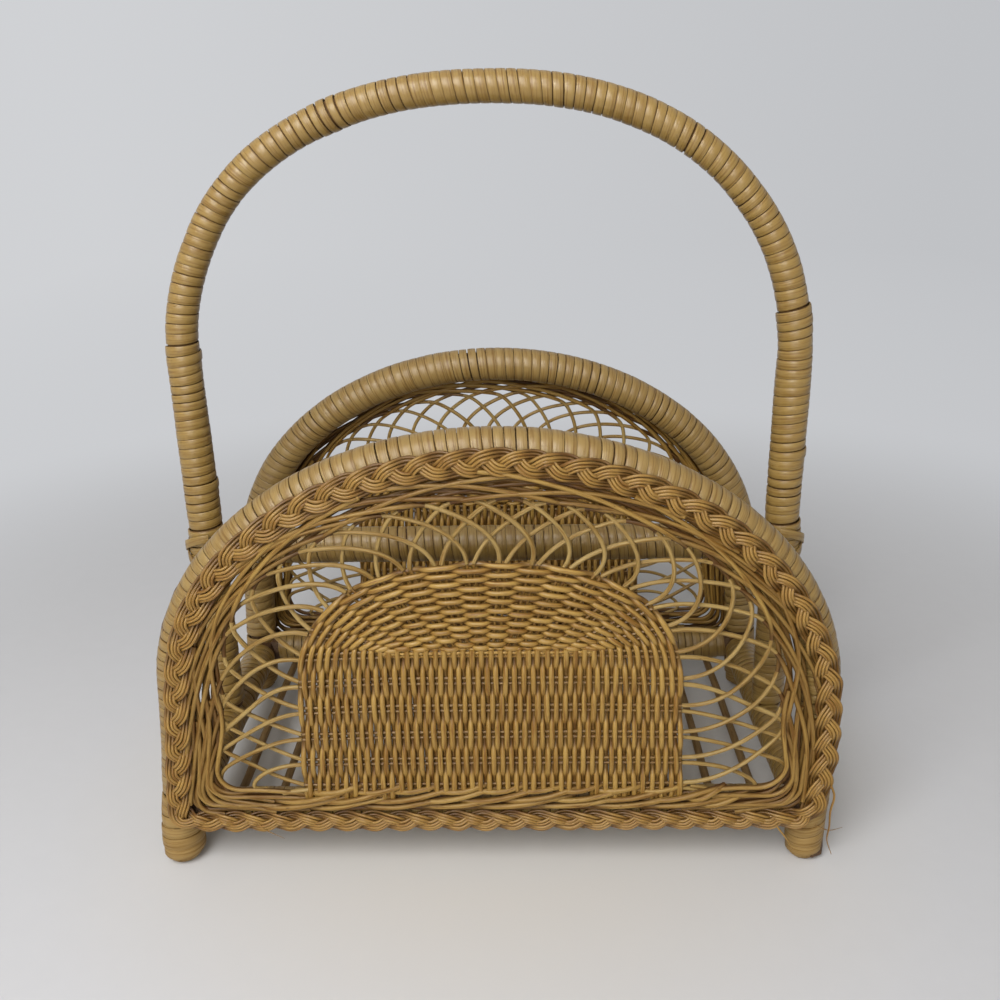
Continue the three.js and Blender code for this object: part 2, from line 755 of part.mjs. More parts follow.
// A point between a station's outer and inner edges, at a distance in front of the middle
function acrossStation({ from, to }, share, forward) {
  return point(
    THREE.MathUtils.lerp(from.x, to.x, share),
    -forward,
    THREE.MathUtils.lerp(from.y, to.y, share),
  );
}

// The plait as a ring whose two rows of lobes rise and dive in turn
function plait() {
  const crest = plaitBack + PLAIT_THICKNESS;
  const edgeShares = [0, 0.08];
  const lobeShares = [0.26, 0.5, 0.74];
  const sections = matchedStations(plaitOuter, plaitInner, PLAIT_LOBE / 2).map((station, k) => {
    const odd = k % 2;
    return [
      acrossStation(station, edgeShares[odd], plaitBack),
      acrossStation(station, lobeShares[0], crest - odd * PLAIT_DIP),
      acrossStation(station, lobeShares[1], crest - PLAIT_DIP),
      acrossStation(station, lobeShares[2], crest - (1 - odd) * PLAIT_DIP),
      acrossStation(station, 1 - edgeShares[1 - odd], plaitBack),
    ];
  });
  return loft(sections, true);
}

// The twined border as a ring with two ridges in front and a groove inside for the reeds
function border() {
  const front = weavePlane + BORDER_THICKNESS / 2;
  const back = weavePlane - BORDER_THICKNESS / 2;
  const ridgeShares = [0.15, 0.45, 0.75];
  const sections = matchedStations(borderOuter, latticeOutline, BORDER_STEP / 2).map(
    (station, k) => {
      const odd = k % 2;
      const floor = 1 - SOCKET_DEPTH / station.from.distanceTo(station.to);
      return [
        acrossStation(station, 0, back),
        acrossStation(station, ridgeShares[0], front - odd * BORDER_DIP),
        acrossStation(station, ridgeShares[1], front - BORDER_DIP),
        acrossStation(station, ridgeShares[2], front - (1 - odd) * BORDER_DIP),
        acrossStation(station, 1, weavePlane + socketHalfWidth),
        acrossStation(station, floor, weavePlane + socketHalfWidth),
        acrossStation(station, floor, weavePlane - socketHalfWidth),
        acrossStation(station, 1, weavePlane - socketHalfWidth),
        acrossStation(station, 1, back),
      ];
    },
  );
  return loft(sections, true);
}

const medallionPath = makeMedallionPath();

function makeMedallionPath() {
  const spring = medallionBottom + MEDALLION_SIDE_HEIGHT;
  const foot = MEDALLION_HALF_WIDTH + MEDALLION_FLARE;
  return joinCurves(
    line(-foot, medallionBottom, -MEDALLION_HALF_WIDTH, spring),
    new SquarishArch(MEDALLION_HALF_WIDTH, MEDALLION_RISE, spring, MEDALLION_POWER),
    line(MEDALLION_HALF_WIDTH, spring, foot, medallionBottom),
  );
}

// Places on the medallion's upright block: columns follow the reeds round its sides and top
function medallionGrid() {
  const blockTop = medallionBottom + BLOCK_HEIGHT;
  const topPairs = REED_PAIRS - 2 * SIDE_PAIRS;
  const onBlock = (column) => {
    const right = column > REED_PAIRS / 2;
    const fromBottom = right ? REED_PAIRS - column : column;
    const height = Math.min(1, fromBottom / SIDE_PAIRS) * BLOCK_HEIGHT;
    const along = THREE.MathUtils.clamp((column - SIDE_PAIRS) / topPairs, 0, 1);
    const x = (2 * along - 1) * BLOCK_HALF_WIDTH;
    return new THREE.Vector2(x, Math.min(blockTop, medallionBottom + height));
  };
  return { topPairs, onBlock };
}

// The woven medallion: its front rises and falls where weavers pass over and under the pairs
function medallion() {
  const { topPairs, onBlock } = medallionGrid();
  const front = weavePlane + MEDALLION_THICKNESS / 2 - WEAVE_RELIEF;
  const back = weavePlane - MEDALLION_THICKNESS / 2;
  const lastColumn = REED_PAIRS + 1;
  const blockRows = SIDE_PAIRS + 1;
  const blockColumns = 2 * topPairs;
  const woven = (row, column) => ((row + column) % 2 ? WEAVE_RELIEF : -WEAVE_RELIEF);
  const atPair = (index, last) => THREE.MathUtils.clamp(index - 1 / 2, 0, last - 1);
  const band = (row, column) => {
    const place = atPair(column, lastColumn);
    const to = medallionPath.getPointAt(place / REED_PAIRS);
    const spot = onBlock(place).lerp(to, row / MEDALLION_ROWS);
    const flat = row === 0 || column === 0 || column === lastColumn;
    const relief = flat ? 0 : woven(row, column);
    const atRim = row > MEDALLION_ROWS - RIM_ROWS;
    const raised = atRim ? Math.max(relief, RIM_RELIEF_SHARE * WEAVE_RELIEF) : relief;
    return point(spot.x, -front - raised, spot.y);
  };
  const block = (column, row) => {
    const { x } = onBlock(SIDE_PAIRS + column / 2);
    const z = medallionBottom + (BLOCK_HEIGHT * atPair(row, blockRows)) / SIDE_PAIRS;
    const flat = column === 0 || column === blockColumns || row === 0 || row === blockRows;
    return point(x, -front - (flat ? 0 : woven(row, column)), z);
  };
  const faces = [];
  const fan = (...corners) => {
    for (let k = 1; k < corners.length - 1; k++) faces.push([corners[0], corners[k], corners[k + 1]]);
  };
  for (let column = 0; column < lastColumn; column++) {
    for (let row = 0; row < MEDALLION_ROWS; row++) {
      const corners = [
        band(row, column + 1),
        band(row + 1, column + 1),
        band(row + 1, column),
        band(row, column),
      ];
      const overBlock = row === 0 && column >= SIDE_PAIRS && column <= SIDE_PAIRS + topPairs;
      if (overBlock) fan(block(2 * (column - SIDE_PAIRS), blockRows), ...corners);
      else fan(...corners);
    }
  }
  for (let column = 0; column < blockColumns; column++) {
    for (let row = 0; row < blockRows; row++) {
      fan(
        block(column, row),
        block(column + 1, row),
        block(column + 1, row + 1),
        block(column, row + 1),
      );
    }
  }
  const rim = medallionRim(band, block, lastColumn, blockColumns);
  const behind = rim.map((p) => point(p.x, -back, p.z));
  rim.forEach((p, k) => {
    const m = (k + 1) % rim.length;
    fan(p, rim[m], behind[m], behind[k]);
  });
  const flatRim = behind.map((p) => new THREE.Vector2(p.x, p.z));
  const triangles = THREE.ShapeUtils.triangulateShape(flatRim, []);
  const area = triangles.reduce(
    (sum, triangle) => sum + THREE.ShapeUtils.area(triangle.map((k) => flatRim[k])),
    0,
  );
  triangles.forEach(([a, b, c]) => {
    faces.push((area > 0 ? [a, c, b] : [a, b, c]).map((k) => behind[k]));
  });
  return cut(closedGeometry(faces), medallionSocket(onBlock));
}

// The medallion's edge points, once round: up and over the outline, back along the bottom
function medallionRim(band, block, lastColumn, blockColumns) {
  const rim = [];
  for (let column = 0; column <= lastColumn; column++) rim.push(band(MEDALLION_ROWS, column));
  for (let row = MEDALLION_ROWS - 1; row > 0; row--) rim.push(band(row, lastColumn));
  for (let column = blockColumns; column >= 0; column--) rim.push(block(column, 0));
  for (let row = 1; row < MEDALLION_ROWS; row++) rim.push(band(row, 0));
  return rim;
}

// Cutter for the groove round the medallion that takes the reeds' ends
function medallionSocket(onBlock) {
  const outside = [];
  const inside = [];
  for (let j = 0; j <= REED_PAIRS; j++) {
    const edge = medallionPath.getPointAt(j / REED_PAIRS);
    const outward = edge.clone().sub(onBlock(j)).normalize();
    outside.push(edge.clone().addScaledVector(outward, OVERRUN));
    inside.unshift(edge.clone().addScaledVector(outward, -SOCKET_DEPTH));
  }
  return new THREE.ExtrudeGeometry(new THREE.Shape([...outside, ...inside]), {
    depth: 2 * socketHalfWidth,
    bevelEnabled: false,
  })
    .rotateX(Math.PI / 2)
    .translate(0, -weavePlane + socketHalfWidth, 0);
}

// The open lattice: each pair of reeds parts and leans both ways, crossing its neighbours
function lattice() {
  const opening = joinCurves(...latticeOutline);
  const round = opening.getLength();
  const top = opening.curves[0].getLength() + opening.curves[1].getLength()
    + opening.curves[2].getLength() + opening.curves[3].getLength() / 2;
  const onBorder = (share) => {
    const along = top - (share - 1 / 2) * REED_PAIRS * BORDER_PAIR_SPACING;
    return opening.getPointAt(((along + round) % round) / round);
  };
  const onMedallion = (share) => {
    const inside = THREE.MathUtils.clamp(share, 0, 1);
    return medallionPath.getPointAt(inside);
  };
  const reeds = [];
  for (let pair = 0; pair < REED_PAIRS; pair++) {
    const atEnd = pair === 0 || pair === REED_PAIRS - 1;
    const spread = atEnd ? 0 : PAIR_SPREAD / medallionPath.getLength() / 2;
    const middle = (pair + 1 / 2) / REED_PAIRS;
    reeds.push(leaningReed(onMedallion, onBorder, middle, -1, spread));
    reeds.push(leaningReed(onMedallion, onBorder, middle, 1, spread));
  }
  return join(reeds);
}

// One reed of a pair; only the end pairs share a root, because nothing crosses their outer reeds
function leaningReed(onMedallion, onBorder, middle, lean, spread) {
  const place = (reach) => {
    const sideways = (REED_LEAN / REED_PAIRS) * Math.max(0, reach) ** REED_LEAN_POWER;
    const rootShare = middle + lean * (spread + sideways);
    const tipShare = middle + lean * sideways;
    return onMedallion(rootShare).lerp(onBorder(tipShare), reach);
  };
  const start = -REED_INSERT / reedStep(place, -REACH_STEP).length();
  const end = 1 + REED_INSERT / reedStep(place, 1).length();
  const reaches = Array.from(
    { length: REED_STEPS + 1 },
    (_, i) => start + ((end - start) * i) / REED_STEPS,
  );
  return loft(reaches.map((reach) => reedSection(place, reach, lean)));
}

// Direction of a reed's axis, as long as the reed would be at this rate from end to end
function reedStep(place, reach) {
  return place(reach + REACH_STEP)
    .sub(place(reach - REACH_STEP))
    .divideScalar(2 * REACH_STEP);
}

// A reed's section: flat in front, with a ridge behind that beds into the reed it crosses
function reedSection(place, reach, lean) {
  const spot = place(reach);
  const along = reedStep(place, reach).normalize();
  const lift = lean * REED_LIFT * Math.sin(Math.PI * THREE.MathUtils.clamp(reach, 0, 1));
  const middle = point(spot.x, -weavePlane - lift, spot.y);
  const across = point(-along.y, 0, along.x).multiplyScalar(REED_RADIUS * Math.cos(Math.PI / 6));
  const front = point(0, -REED_RADIUS / 2, 0);
  return [
    middle.clone().add(across).add(front),
    middle.clone().sub(across).add(front),
    middle.clone().add(point(0, REED_RADIUS, 0)),
  ];
}

const basket = new THREE.Group();

function addPiece(parent, name, geometry, material) {
  const mesh = new THREE.Mesh(geometry, material.clone());
  mesh.name = name;
  parent.add(mesh);
}

function addWovenPanel(side, turn) {
  const panel = new THREE.Group();
  panel.rotation.z = turn;
  addPiece(panel, `${side}_lattice`, lattice(), materials.reed);
  addPiece(panel, `${side}_medallion`, medallion(), materials.reed);
  addPiece(panel, `${side}_border`, border(), materials.reed);
  addPiece(panel, `${side}_plait`, plait(), materials.plait);
  basket.add(panel);
}

for (const [side, sideY] of [["front", -1], ["back", 1]]) {
  addPiece(basket, `${side}_hoop`, hoop(sideY), materials.pole);
  addPiece(basket, `${side}_hoop_binding`, hoopBinding(sideY), materials.cane);
  addPiece(basket, `${side}_rail`, crossRail(sideY), materials.pole);
  addPiece(basket, `${side}_rail_binding`, crossRailBinding(sideY), materials.cane);
  for (const [end, sideX] of [["left", -1], ["right", 1]]) {
    const railBrad = brad(bradPlaces.frontRail(sideX, sideY));
    const cornerBrad = brad(bradPlaces.sideRail(sideX, sideY));
    addPiece(basket, `${side}_${end}_foot`, foot(sideX, sideY), materials.cane);
    addPiece(basket, `${side}_rail_${end}_brad`, railBrad, materials.steel);
    addPiece(basket, `${end}_rail_${side}_brad`, cornerBrad, materials.steel);
  }
}
addWovenPanel("front", 0);
addWovenPanel("back", Math.PI);

for (const [side, sideX] of [["left", -1], ["right", 1]]) {
  addPiece(basket, `${side}_rail`, sideRail(sideX), materials.pole);
  addPiece(basket, `${side}_rail_binding`, sideRailBinding(sideX), materials.cane);
  addPiece(basket, `${side}_divider_lashing`, dividerLashing(sideX), materials.cane);
  addPiece(basket, `${side}_handle_brad`, brad(bradPlaces.handleLeg(sideX)), materials.steel);
  addPiece(basket, `${side}_divider_brad`, brad(bradPlaces.divider(sideX)), materials.steel);
}

addPiece(basket, "handle", handle(), materials.pole);
handleBindings().forEach(({ name, geometry }) => addPiece(basket, name, geometry, materials.cane));
addPiece(basket, "divider_bar", divider(), materials.pole);
addPiece(basket, "divider_binding", dividerBinding(), materials.cane);
slats().forEach((slat, i) => addPiece(basket, `slat_${i + 1}`, slat, materials.reed));

export default basket;
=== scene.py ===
"""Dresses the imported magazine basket: wound cane, plaits, twined borders, lattices and woven medallions."""

import math

import bpy
import numpy as np
from bpy.props import FloatProperty, FloatVectorProperty, IntProperty, PointerProperty
from mathutils import Matrix, Vector


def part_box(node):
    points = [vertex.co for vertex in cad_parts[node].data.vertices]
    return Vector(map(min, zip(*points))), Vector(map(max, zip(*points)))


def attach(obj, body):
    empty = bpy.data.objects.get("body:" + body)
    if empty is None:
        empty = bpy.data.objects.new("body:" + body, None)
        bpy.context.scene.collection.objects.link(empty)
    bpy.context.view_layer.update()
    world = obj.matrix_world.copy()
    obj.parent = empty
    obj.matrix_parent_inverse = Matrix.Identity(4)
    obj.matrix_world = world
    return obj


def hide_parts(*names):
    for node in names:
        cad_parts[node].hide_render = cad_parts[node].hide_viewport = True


bl_info = {
    "name": "Cane magazine basket",
    "version": (1, 0, 0),
    "blender": (4, 5, 0),
    "location": "3D View > Sidebar > Basket",
    "description": "Winds, plaits and weaves the cane and reed of a magazine basket over its frame",
    "category": "Object",
}

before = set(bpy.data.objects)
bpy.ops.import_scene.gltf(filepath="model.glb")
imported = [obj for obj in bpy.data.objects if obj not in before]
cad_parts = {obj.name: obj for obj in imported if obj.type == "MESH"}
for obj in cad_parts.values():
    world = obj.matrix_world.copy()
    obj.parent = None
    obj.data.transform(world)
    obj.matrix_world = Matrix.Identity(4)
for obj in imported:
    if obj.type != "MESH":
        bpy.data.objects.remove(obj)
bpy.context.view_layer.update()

# The shape of the poles, in metres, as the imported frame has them
HOOP_HALF_WIDTH = 0.1855
HOOP_RISE = 0.1485
HOOP_SPRING = 0.115
LEG_SPLAY = 0.0075
HOOP_Y = 0.1
RAIL_HEIGHT = 0.036
HANDLE_INSET = 0.0025
HANDLE_SPRING = 0.29
HANDLE_RISE = 0.1535
HANDLE_POWER = 2.2

# The panels' outlines
PLAIT_BACK = -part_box("front_plait")[1].y
WEAVE_PLANE = PLAIT_BACK + 0.0009
MEDALLION_BOTTOM = 0.0508
MEDALLION_HALF_WIDTH = 0.1085
MEDALLION_FLARE = 0.003
MEDALLION_SIDE_HEIGHT = 0.0635
MEDALLION_RISE = 0.0885
MEDALLION_POWER = 2.6
BLOCK_HALF_WIDTH = 0.057
BLOCK_TOP = 0.1505
WEAVE_FOOT = MEDALLION_BOTTOM + 0.0072
REED_PAIRS = 26
SIDE_PAIRS = 6
LEVEL_STEP = (BLOCK_TOP - 0.002 - MEDALLION_BOTTOM) / (SIDE_PAIRS - 0.5)

UP = np.array([0.0, 0.0, 1.0])
FORWARD = np.array([0.0, -1.0, 0.0])
BACKWARD = np.array([0.0, 1.0, 0.0])
DOWN = np.array([0.0, 0.0, -1.0])
STRAND_MAP = "strands"


# Lines that strands follow

def unit(vectors):
    return vectors / np.linalg.norm(vectors, axis=-1, keepdims=True)


def wander(rng, at, spacing, size):
    """A slow random drift along distances, with its bends a spacing apart."""
    knots = np.arange(at.min() - spacing, at.max() + 2 * spacing, spacing)
    values = rng.uniform(-size, size, len(knots) + 1)
    place = (at - knots[0]) / spacing
    before = place.astype(int)
    share = place - before
    share = share * share * (3 - 2 * share)
    return values[before] * (1 - share) + values[before + 1] * share


class Route:
    """A line through points, read by the distance along it."""

    def __init__(self, points):
        self.points = np.asarray(points, float)
        steps = np.linalg.norm(np.diff(self.points, axis=0), axis=1)
        self.at = np.concatenate([[0.0], np.cumsum(steps)])
        self.length = self.at[-1]

    def place(self, along):
        return np.stack(
            [np.interp(along, self.at, column) for column in self.points.T], axis=-1
        )

    def heading(self, along, reach=0.002):
        along = np.clip(along, reach, self.length - reach)
        return unit(self.place(along + reach) - self.place(along - reach))

    def where(self, axis, value, after=0.0):
        """Distance at which the route first reaches a value on an axis, past a distance."""
        crossed = np.diff(np.sign(self.points[:, axis] - value)) != 0
        found = [i for i in np.flatnonzero(crossed) if self.at[i + 1] >= after]
        i = found[0]
        a, b = self.points[i, axis], self.points[i + 1, axis]
        return self.at[i] + (self.at[i + 1] - self.at[i]) * (value - a) / (b - a)


def respaced(points, spacing):
    route = Route(points)
    return route.place(np.linspace(0, route.length, max(4, round(route.length / spacing) + 1)))


def softened(points, reach):
    """The same line with its corners eased over a number of points."""
    window = np.hanning(2 * reach + 3)[1:-1]
    window /= window.sum()
    padded = np.concatenate([
        2 * points[0] - points[reach:0:-1], points, 2 * points[-1] - points[-2:-reach - 2:-1],
    ])
    return np.stack([np.convolve(column, window, "valid") for column in padded.T], axis=-1)


def leg_half_width(height):
    return HOOP_HALF_WIDTH + LEG_SPLAY * (1 - height / HOOP_SPRING)


def squarish_arch(half_width, rise, spring, power, count=160):
    angle = np.pi * (1 - np.linspace(0, 1, count))
    across, up = np.cos(angle), np.abs(np.sin(angle))
    x = half_width * np.sign(across) * np.abs(across) ** (2 / power)
    return np.stack([x, spring + rise * up ** (2 / power)], axis=-1)


def standing(flat, y):
    """Points of a line in the panel's plane, put at a depth."""
    return np.stack([flat[:, 0], np.full(len(flat), y), flat[:, 1]], axis=-1)


# How far the real bends lie off even ones: heights, then shifts. The front hoop leans to the right, and the
# handle's bend is drawn in.
LEAN_HEIGHTS = [0, 0.035, 0.05, 0.09, 0.13, 0.3]
FRONT_LEAN = [-0.0016, -0.001, 0.0006, 0.0026, 0.0034, 0.003]
DRAWN_HEIGHTS = [0.27, 0.313, 0.34, 0.36, 0.383, 0.405, 0.43, 0.4435]
DRAWN_LEFT = [0, 0.0005, 0.0018, 0.0024, 0.0014, 0.0006, 0.0008, 0]
DRAWN_RIGHT = [0, 0.003, 0.0038, 0.0043, 0.0048, 0.0038, 0.002, 0]


def leaned(flat, share=1.0):
    """The front hoop's own lean to the right, by height."""
    return flat + share * np.stack([np.interp(flat[:, 1], LEAN_HEIGHTS, FRONT_LEAN), np.zeros(len(flat))], -1)


def hoop_route(y):
    arch = squarish_arch(HOOP_HALF_WIDTH, HOOP_RISE, HOOP_SPRING, 2)
    heights = np.linspace(0, HOOP_SPRING, 14)[:-1]
    left = np.stack([-leg_half_width(heights), heights], -1)
    right = np.stack([leg_half_width(heights), heights], -1)[::-1]
    return Route(standing(leaned(np.concatenate([left, arch, right]), 1.0 if y < 0 else 0.0), y))


def handle_route():
    x = leg_half_width(RAIL_HEIGHT) - HANDLE_INSET
    arch = squarish_arch(x, HANDLE_RISE, HANDLE_SPRING, HANDLE_POWER)
    flat = np.concatenate([[[-x, RAIL_HEIGHT]], arch, [[x, RAIL_HEIGHT]]])
    left, right = (np.interp(flat[:, 1], DRAWN_HEIGHTS, shift) for shift in (DRAWN_LEFT, DRAWN_RIGHT))
    flat[:, 0] += np.where(flat[:, 0] < 0, left, -right)
    return Route(standing(flat, 0))


def ring(inset, top_inset, bottom, corner, count=90):
    """A closed round inside the hoop: its bottom, corner, side and arch, each in equal steps."""
    foot = leg_half_width(bottom) - inset
    half_width = HOOP_HALF_WIDTH - inset
    rise = HOOP_RISE - top_inset
    share = np.linspace(0, 1, count, endpoint=False)[:, None]
    turn = np.pi / 2 * share

    def straight(start, end):
        return np.array(start) + share * (np.array(end) - np.array(start))

    def quarter(x, start):
        angle = start + turn
        return np.concatenate(
            [x + corner * np.cos(angle), bottom + corner + corner * np.sin(angle)], axis=1
        )

    arch_angle = 2 * turn
    arch = np.concatenate(
        [half_width * np.cos(arch_angle), HOOP_SPRING + rise * np.sin(arch_angle)], axis=1
    )
    return np.concatenate([
        straight([corner - foot, bottom], [foot - corner, bottom]),
        quarter(foot - corner, -np.pi / 2),
        straight([foot, bottom + corner], [half_width, HOOP_SPRING]),
        arch,
        straight([-half_width, HOOP_SPRING], [-foot, bottom + corner]),
        quarter(corner - foot, np.pi),
    ])


class Band:
    """A closed strip between two rings, read by distance along it and share across it."""

    def __init__(self, outer, inner):
        outer, inner = (np.concatenate([r, r[:1]]) for r in (outer, inner))
        self.outer, self.inner = outer, inner
        middle = Route((outer + inner) / 2)
        self.at, self.length = middle.at, middle.length
        self.top = middle.at[(middle.points[:, 1]).argmax()]

    def flat(self, along, share):
        along = np.mod(along, self.length)
        outer, inner = (
            np.stack([np.interp(along, self.at, column) for column in edge.T], axis=-1)
            for edge in (self.outer, self.inner)
        )
        return outer + (inner - outer) * np.reshape(share, (-1, 1))

    def spot(self, along, share, forward):
        flat = self.flat(along, share)
        return np.stack([flat[:, 0], -forward, flat[:, 1]], axis=-1)


# Skins over lines

# A strip's section: shares of its half width, and of its thickness
STRIP_BELLY = np.array([[-1, 0], [-0.98, 0.74], [-0.84, 0.95], [0, 1.05], [0.84, 0.95], [0.98, 0.74], [1, 0]])


class Weave:
    """Gathers strands into one mesh. Each strand is a closed skin with its own place in the map."""

    def __init__(self):
        self.points, self.corners, self.starts, self.maps = [], [], [], []
        self.point_count = self.corner_count = self.strands = 0

    def strand(self, centre, across, outward, profile, shares):
        """Adds a skin. The profile gives (across, outward) offsets of each section's points."""
        count, size = len(centre), profile.shape[-2]
        profile = np.broadcast_to(profile, (count, size, 2))
        points = (
            centre[:, None]
            + profile[..., :1] * across[:, None]
            + profile[..., 1:] * outward[:, None]
        )
        steps = np.linalg.norm(np.diff(centre, axis=0), axis=1)
        along = np.concatenate([[0.0], np.cumsum(steps)]) * 100
        i, k = np.meshgrid(np.arange(count - 1), np.arange(size), indexing="ij")
        m = (k + 1) % size
        quads = np.stack([i * size + k, i * size + m, (i + 1) * size + m, (i + 1) * size + k], -1)
        u = np.stack([along[i], along[i], along[i + 1], along[i + 1]], -1)
        v = np.stack([shares[k], shares[k + 1], shares[k + 1], shares[k]], -1)
        v = self.strands * 10 + 5 + 4 * v
        middle = count // 2
        travel = centre[middle] - centre[middle - 1]
        x, y = profile[middle, :, 0], profile[middle, :, 1]
        area = np.sum(x * np.roll(y, -1) - y * np.roll(x, -1))
        turned = np.dot(np.cross(across[middle], outward[middle]), travel) * area < 0
        quads, u, v = (a.reshape(-1, 4)[:, ::-1 if turned else 1] for a in (quads, u, v))
        first, last = np.arange(size)[::-1], (count - 1) * size + np.arange(size)
        if turned:
            first, last = first[::-1], last[::-1]
        self.points.append(points.reshape(-1, 3))
        self.corners += [quads.ravel() + self.point_count, first + self.point_count, last + self.point_count]
        ends = np.concatenate([shares[:-1][::1 if turned else -1], shares[:-1][::-1 if turned else 1]])
        self.maps += [
            np.stack([u.ravel(), v.ravel()], -1),
            np.stack([np.repeat(along[[0, -1]], size), self.strands * 10 + 5 + 4 * ends], -1),
        ]
        quad_starts = self.corner_count + 4 * np.arange(len(quads))
        after = self.corner_count + 4 * len(quads)
        self.starts += [quad_starts, np.array([after, after + size])]
        self.corner_count = after + 2 * size
        self.point_count += count * size
        self.strands += 1

    def reed(self, path, radius, facing=FORWARD, sides=7):
        """Adds a round reed along points, with its map's seam away from the side that is seen."""
        path = np.asarray(path)
        travel = unit(np.gradient(path, axis=0))
        across = unit(np.cross(travel, facing))
        outward = np.cross(across, travel)
        outward *= np.sign(np.sum(outward * facing, axis=1, keepdims=True))
        angle = np.linspace(-np.pi, np.pi, sides, endpoint=False)
        circle = np.stack([np.sin(angle), np.cos(angle)], axis=-1)
        radius = np.reshape(radius, (-1, 1, 1)) * np.ones((len(path), 1, 1))
        self.strand(path, across, outward, radius * circle, np.linspace(-1, 1, sides + 1))

    def strip(self, centre, outward, width, thickness):
        """Adds a flat strip of split cane, bellied on its outer side."""
        travel = unit(np.gradient(centre, axis=0))
        across = unit(np.cross(travel, outward))
        outward = np.cross(across, travel)
        aside, height = STRIP_BELLY.T
        profile = np.stack([np.outer(width / 2, aside), np.outer(thickness, height)], -1)
        self.strand(centre, across, outward, profile, np.append(aside, -1))

    def finish(self, name, finish, slot, node, turned=False):
        """Makes the mesh and hands it to the frame in place of the node that it stands for."""
        points = np.concatenate(self.points)
        if turned:
            points = points * [-1, -1, 1]
        corners = np.concatenate(self.corners)
        starts = np.concatenate(self.starts)
        mesh = bpy.data.meshes.new(name)
        mesh.vertices.add(len(points))
        mesh.vertices.foreach_set("co", points.astype(np.float32).ravel())
        mesh.loops.add(len(corners))
        mesh.loops.foreach_set("vertex_index", corners.astype(np.int32))
        mesh.polygons.add(len(starts))
        mesh.polygons.foreach_set("loop_start", starts.astype(np.int32))
        mesh.uv_layers.new(name=STRAND_MAP)
        places = np.concatenate(self.maps).astype(np.float32)
        mesh.uv_layers[STRAND_MAP].data.foreach_set("uv", places.ravel())
        mesh.update(calc_edges=True)
        mesh.validate()
        mesh.shade_smooth()
        mesh.set_sharp_from_angle(angle=math.radians(52))
        mesh.materials.append(finish_for(finish))
        piece = bpy.data.objects.new(name, mesh)
        bpy.context.scene.collection.objects.link(piece)
        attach(piece, "root")
        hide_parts(node)


# Turns of cane
STEPS_ROUND = 24  # points in one turn
OPEN_SHARE = 0.32  # share of the turns that stand open
CLOSED_GAPS = (-0.8, 0.5)  # gaps beside the other turns, in usual gaps: below 0 a turn overlaps the next
OPEN_GAPS = (1.5, 6.5)
PITCH_SLIP = 0.07
TILT_TURNS = 6  # turns after which the tilt has changed
TILT_SIDE = 0.6  # the side of the pole towards which the turns tilt, in radians
TILT_SIDE_DRIFT = (11, 0.9)  # in turns and radians
LIE_DRIFT = (1.7, 0.00012)  # how the cane lies off its bore, in turns and metres
THIN_END = 0.35  # share of its thickness with which a strip starts and ends


def wind(
    weave, rng, route, start, end, bore, cane, facing=BACKWARD, pitch=None, tilt=0.0007, loose=(), lean=0.0,
    swells=(),
):
    """Winds one strip of cane round a route from start to end, with small slips between turns.

    Loose turns are given as (distance, gap), and swells as (distance, height, reach, side), where side
    puts the swell on one side of the pole.
    """
    pitch = pitch or cane.pitch
    turns = max(2, round((end - start) / pitch) - 1)
    pitches = 1 + rng.uniform(-PITCH_SLIP, PITCH_SLIP, turns)
    gaps = cane.gap * rng.uniform(*CLOSED_GAPS, turns + 1)
    open_turns = rng.random(turns + 1) < OPEN_SHARE
    gaps[open_turns] = cane.gap * rng.uniform(*OPEN_GAPS, open_turns.sum())
    for at, width in loose:
        i = int(np.clip((at - start) / (end - start) * turns, 0, turns - 1))
        gaps[i] = width
    turned = np.linspace(0, turns, turns * STEPS_ROUND + 1)
    edges = np.concatenate([[0.0], np.cumsum(pitches)])
    room = end - start - pitch
    along = start + pitch / 2 + room * np.interp(turned, np.arange(turns + 1), edges / edges[-1])
    angle = 2 * np.pi * turned
    from_end = np.minimum(turned, turns - turned)
    slope = lean + wander(rng, turned, TILT_TURNS, tilt)
    slope = np.clip(from_end / 2, 0, 1) * slope
    along = along + slope * np.cos(angle + TILT_SIDE + wander(rng, turned, *TILT_SIDE_DRIFT))
    radius = (bore(along) if callable(bore) else bore) + wander(rng, turned, *LIE_DRIFT)
    for at, height, reach, side in swells:
        near = np.exp(-((along - at) / reach) ** 2)
        radius = radius + height * near * (1 + side * np.sin(angle)) / (1 + abs(side))
    heading = route.heading(along)
    across = unit(np.cross(heading, facing))
    upward = np.cross(across, heading)
    outward = upward * np.cos(angle)[:, None] + across * np.sin(angle)[:, None]
    centre = route.place(along) + outward * np.reshape(radius, (-1, 1))
    apart = np.linalg.norm(centre[STEPS_ROUND:] - centre[:-STEPS_ROUND], axis=1)
    before = np.concatenate([apart[:STEPS_ROUND], apart])
    after = np.concatenate([apart, apart[-STEPS_ROUND:]])
    width = np.minimum(before, after) - np.interp(turned, np.arange(turns + 1), gaps)
    weave.strip(centre, outward, width, cane.thickness * np.clip(from_end * 3, THIN_END, 1))


# Wound cane

def named_rng(name):
    return np.random.default_rng(sum(ord(letter) * (i + 7) for i, letter in enumerate(name)))


def wound_piece(name, node, finish, rng, route, start, end, bore, cane, **slips):
    """One length of wound cane as a piece of its own."""
    weave = Weave()
    wind(weave, rng, route, start, end, bore, cane, **slips)
    weave.finish(name, finish, "cane", node)


HOOP_TILT = 0.0009
HOOP_RUN_ON = 0.003  # how far the cane runs on below its solid, into the foot
# Turns that stand open, as shares of the hoop and gaps
HOOP_LOOSE = [(0.3, 0.0008), (0.47, 0.0006), (0.61, 0.0009), (0.78, 0.0007)]


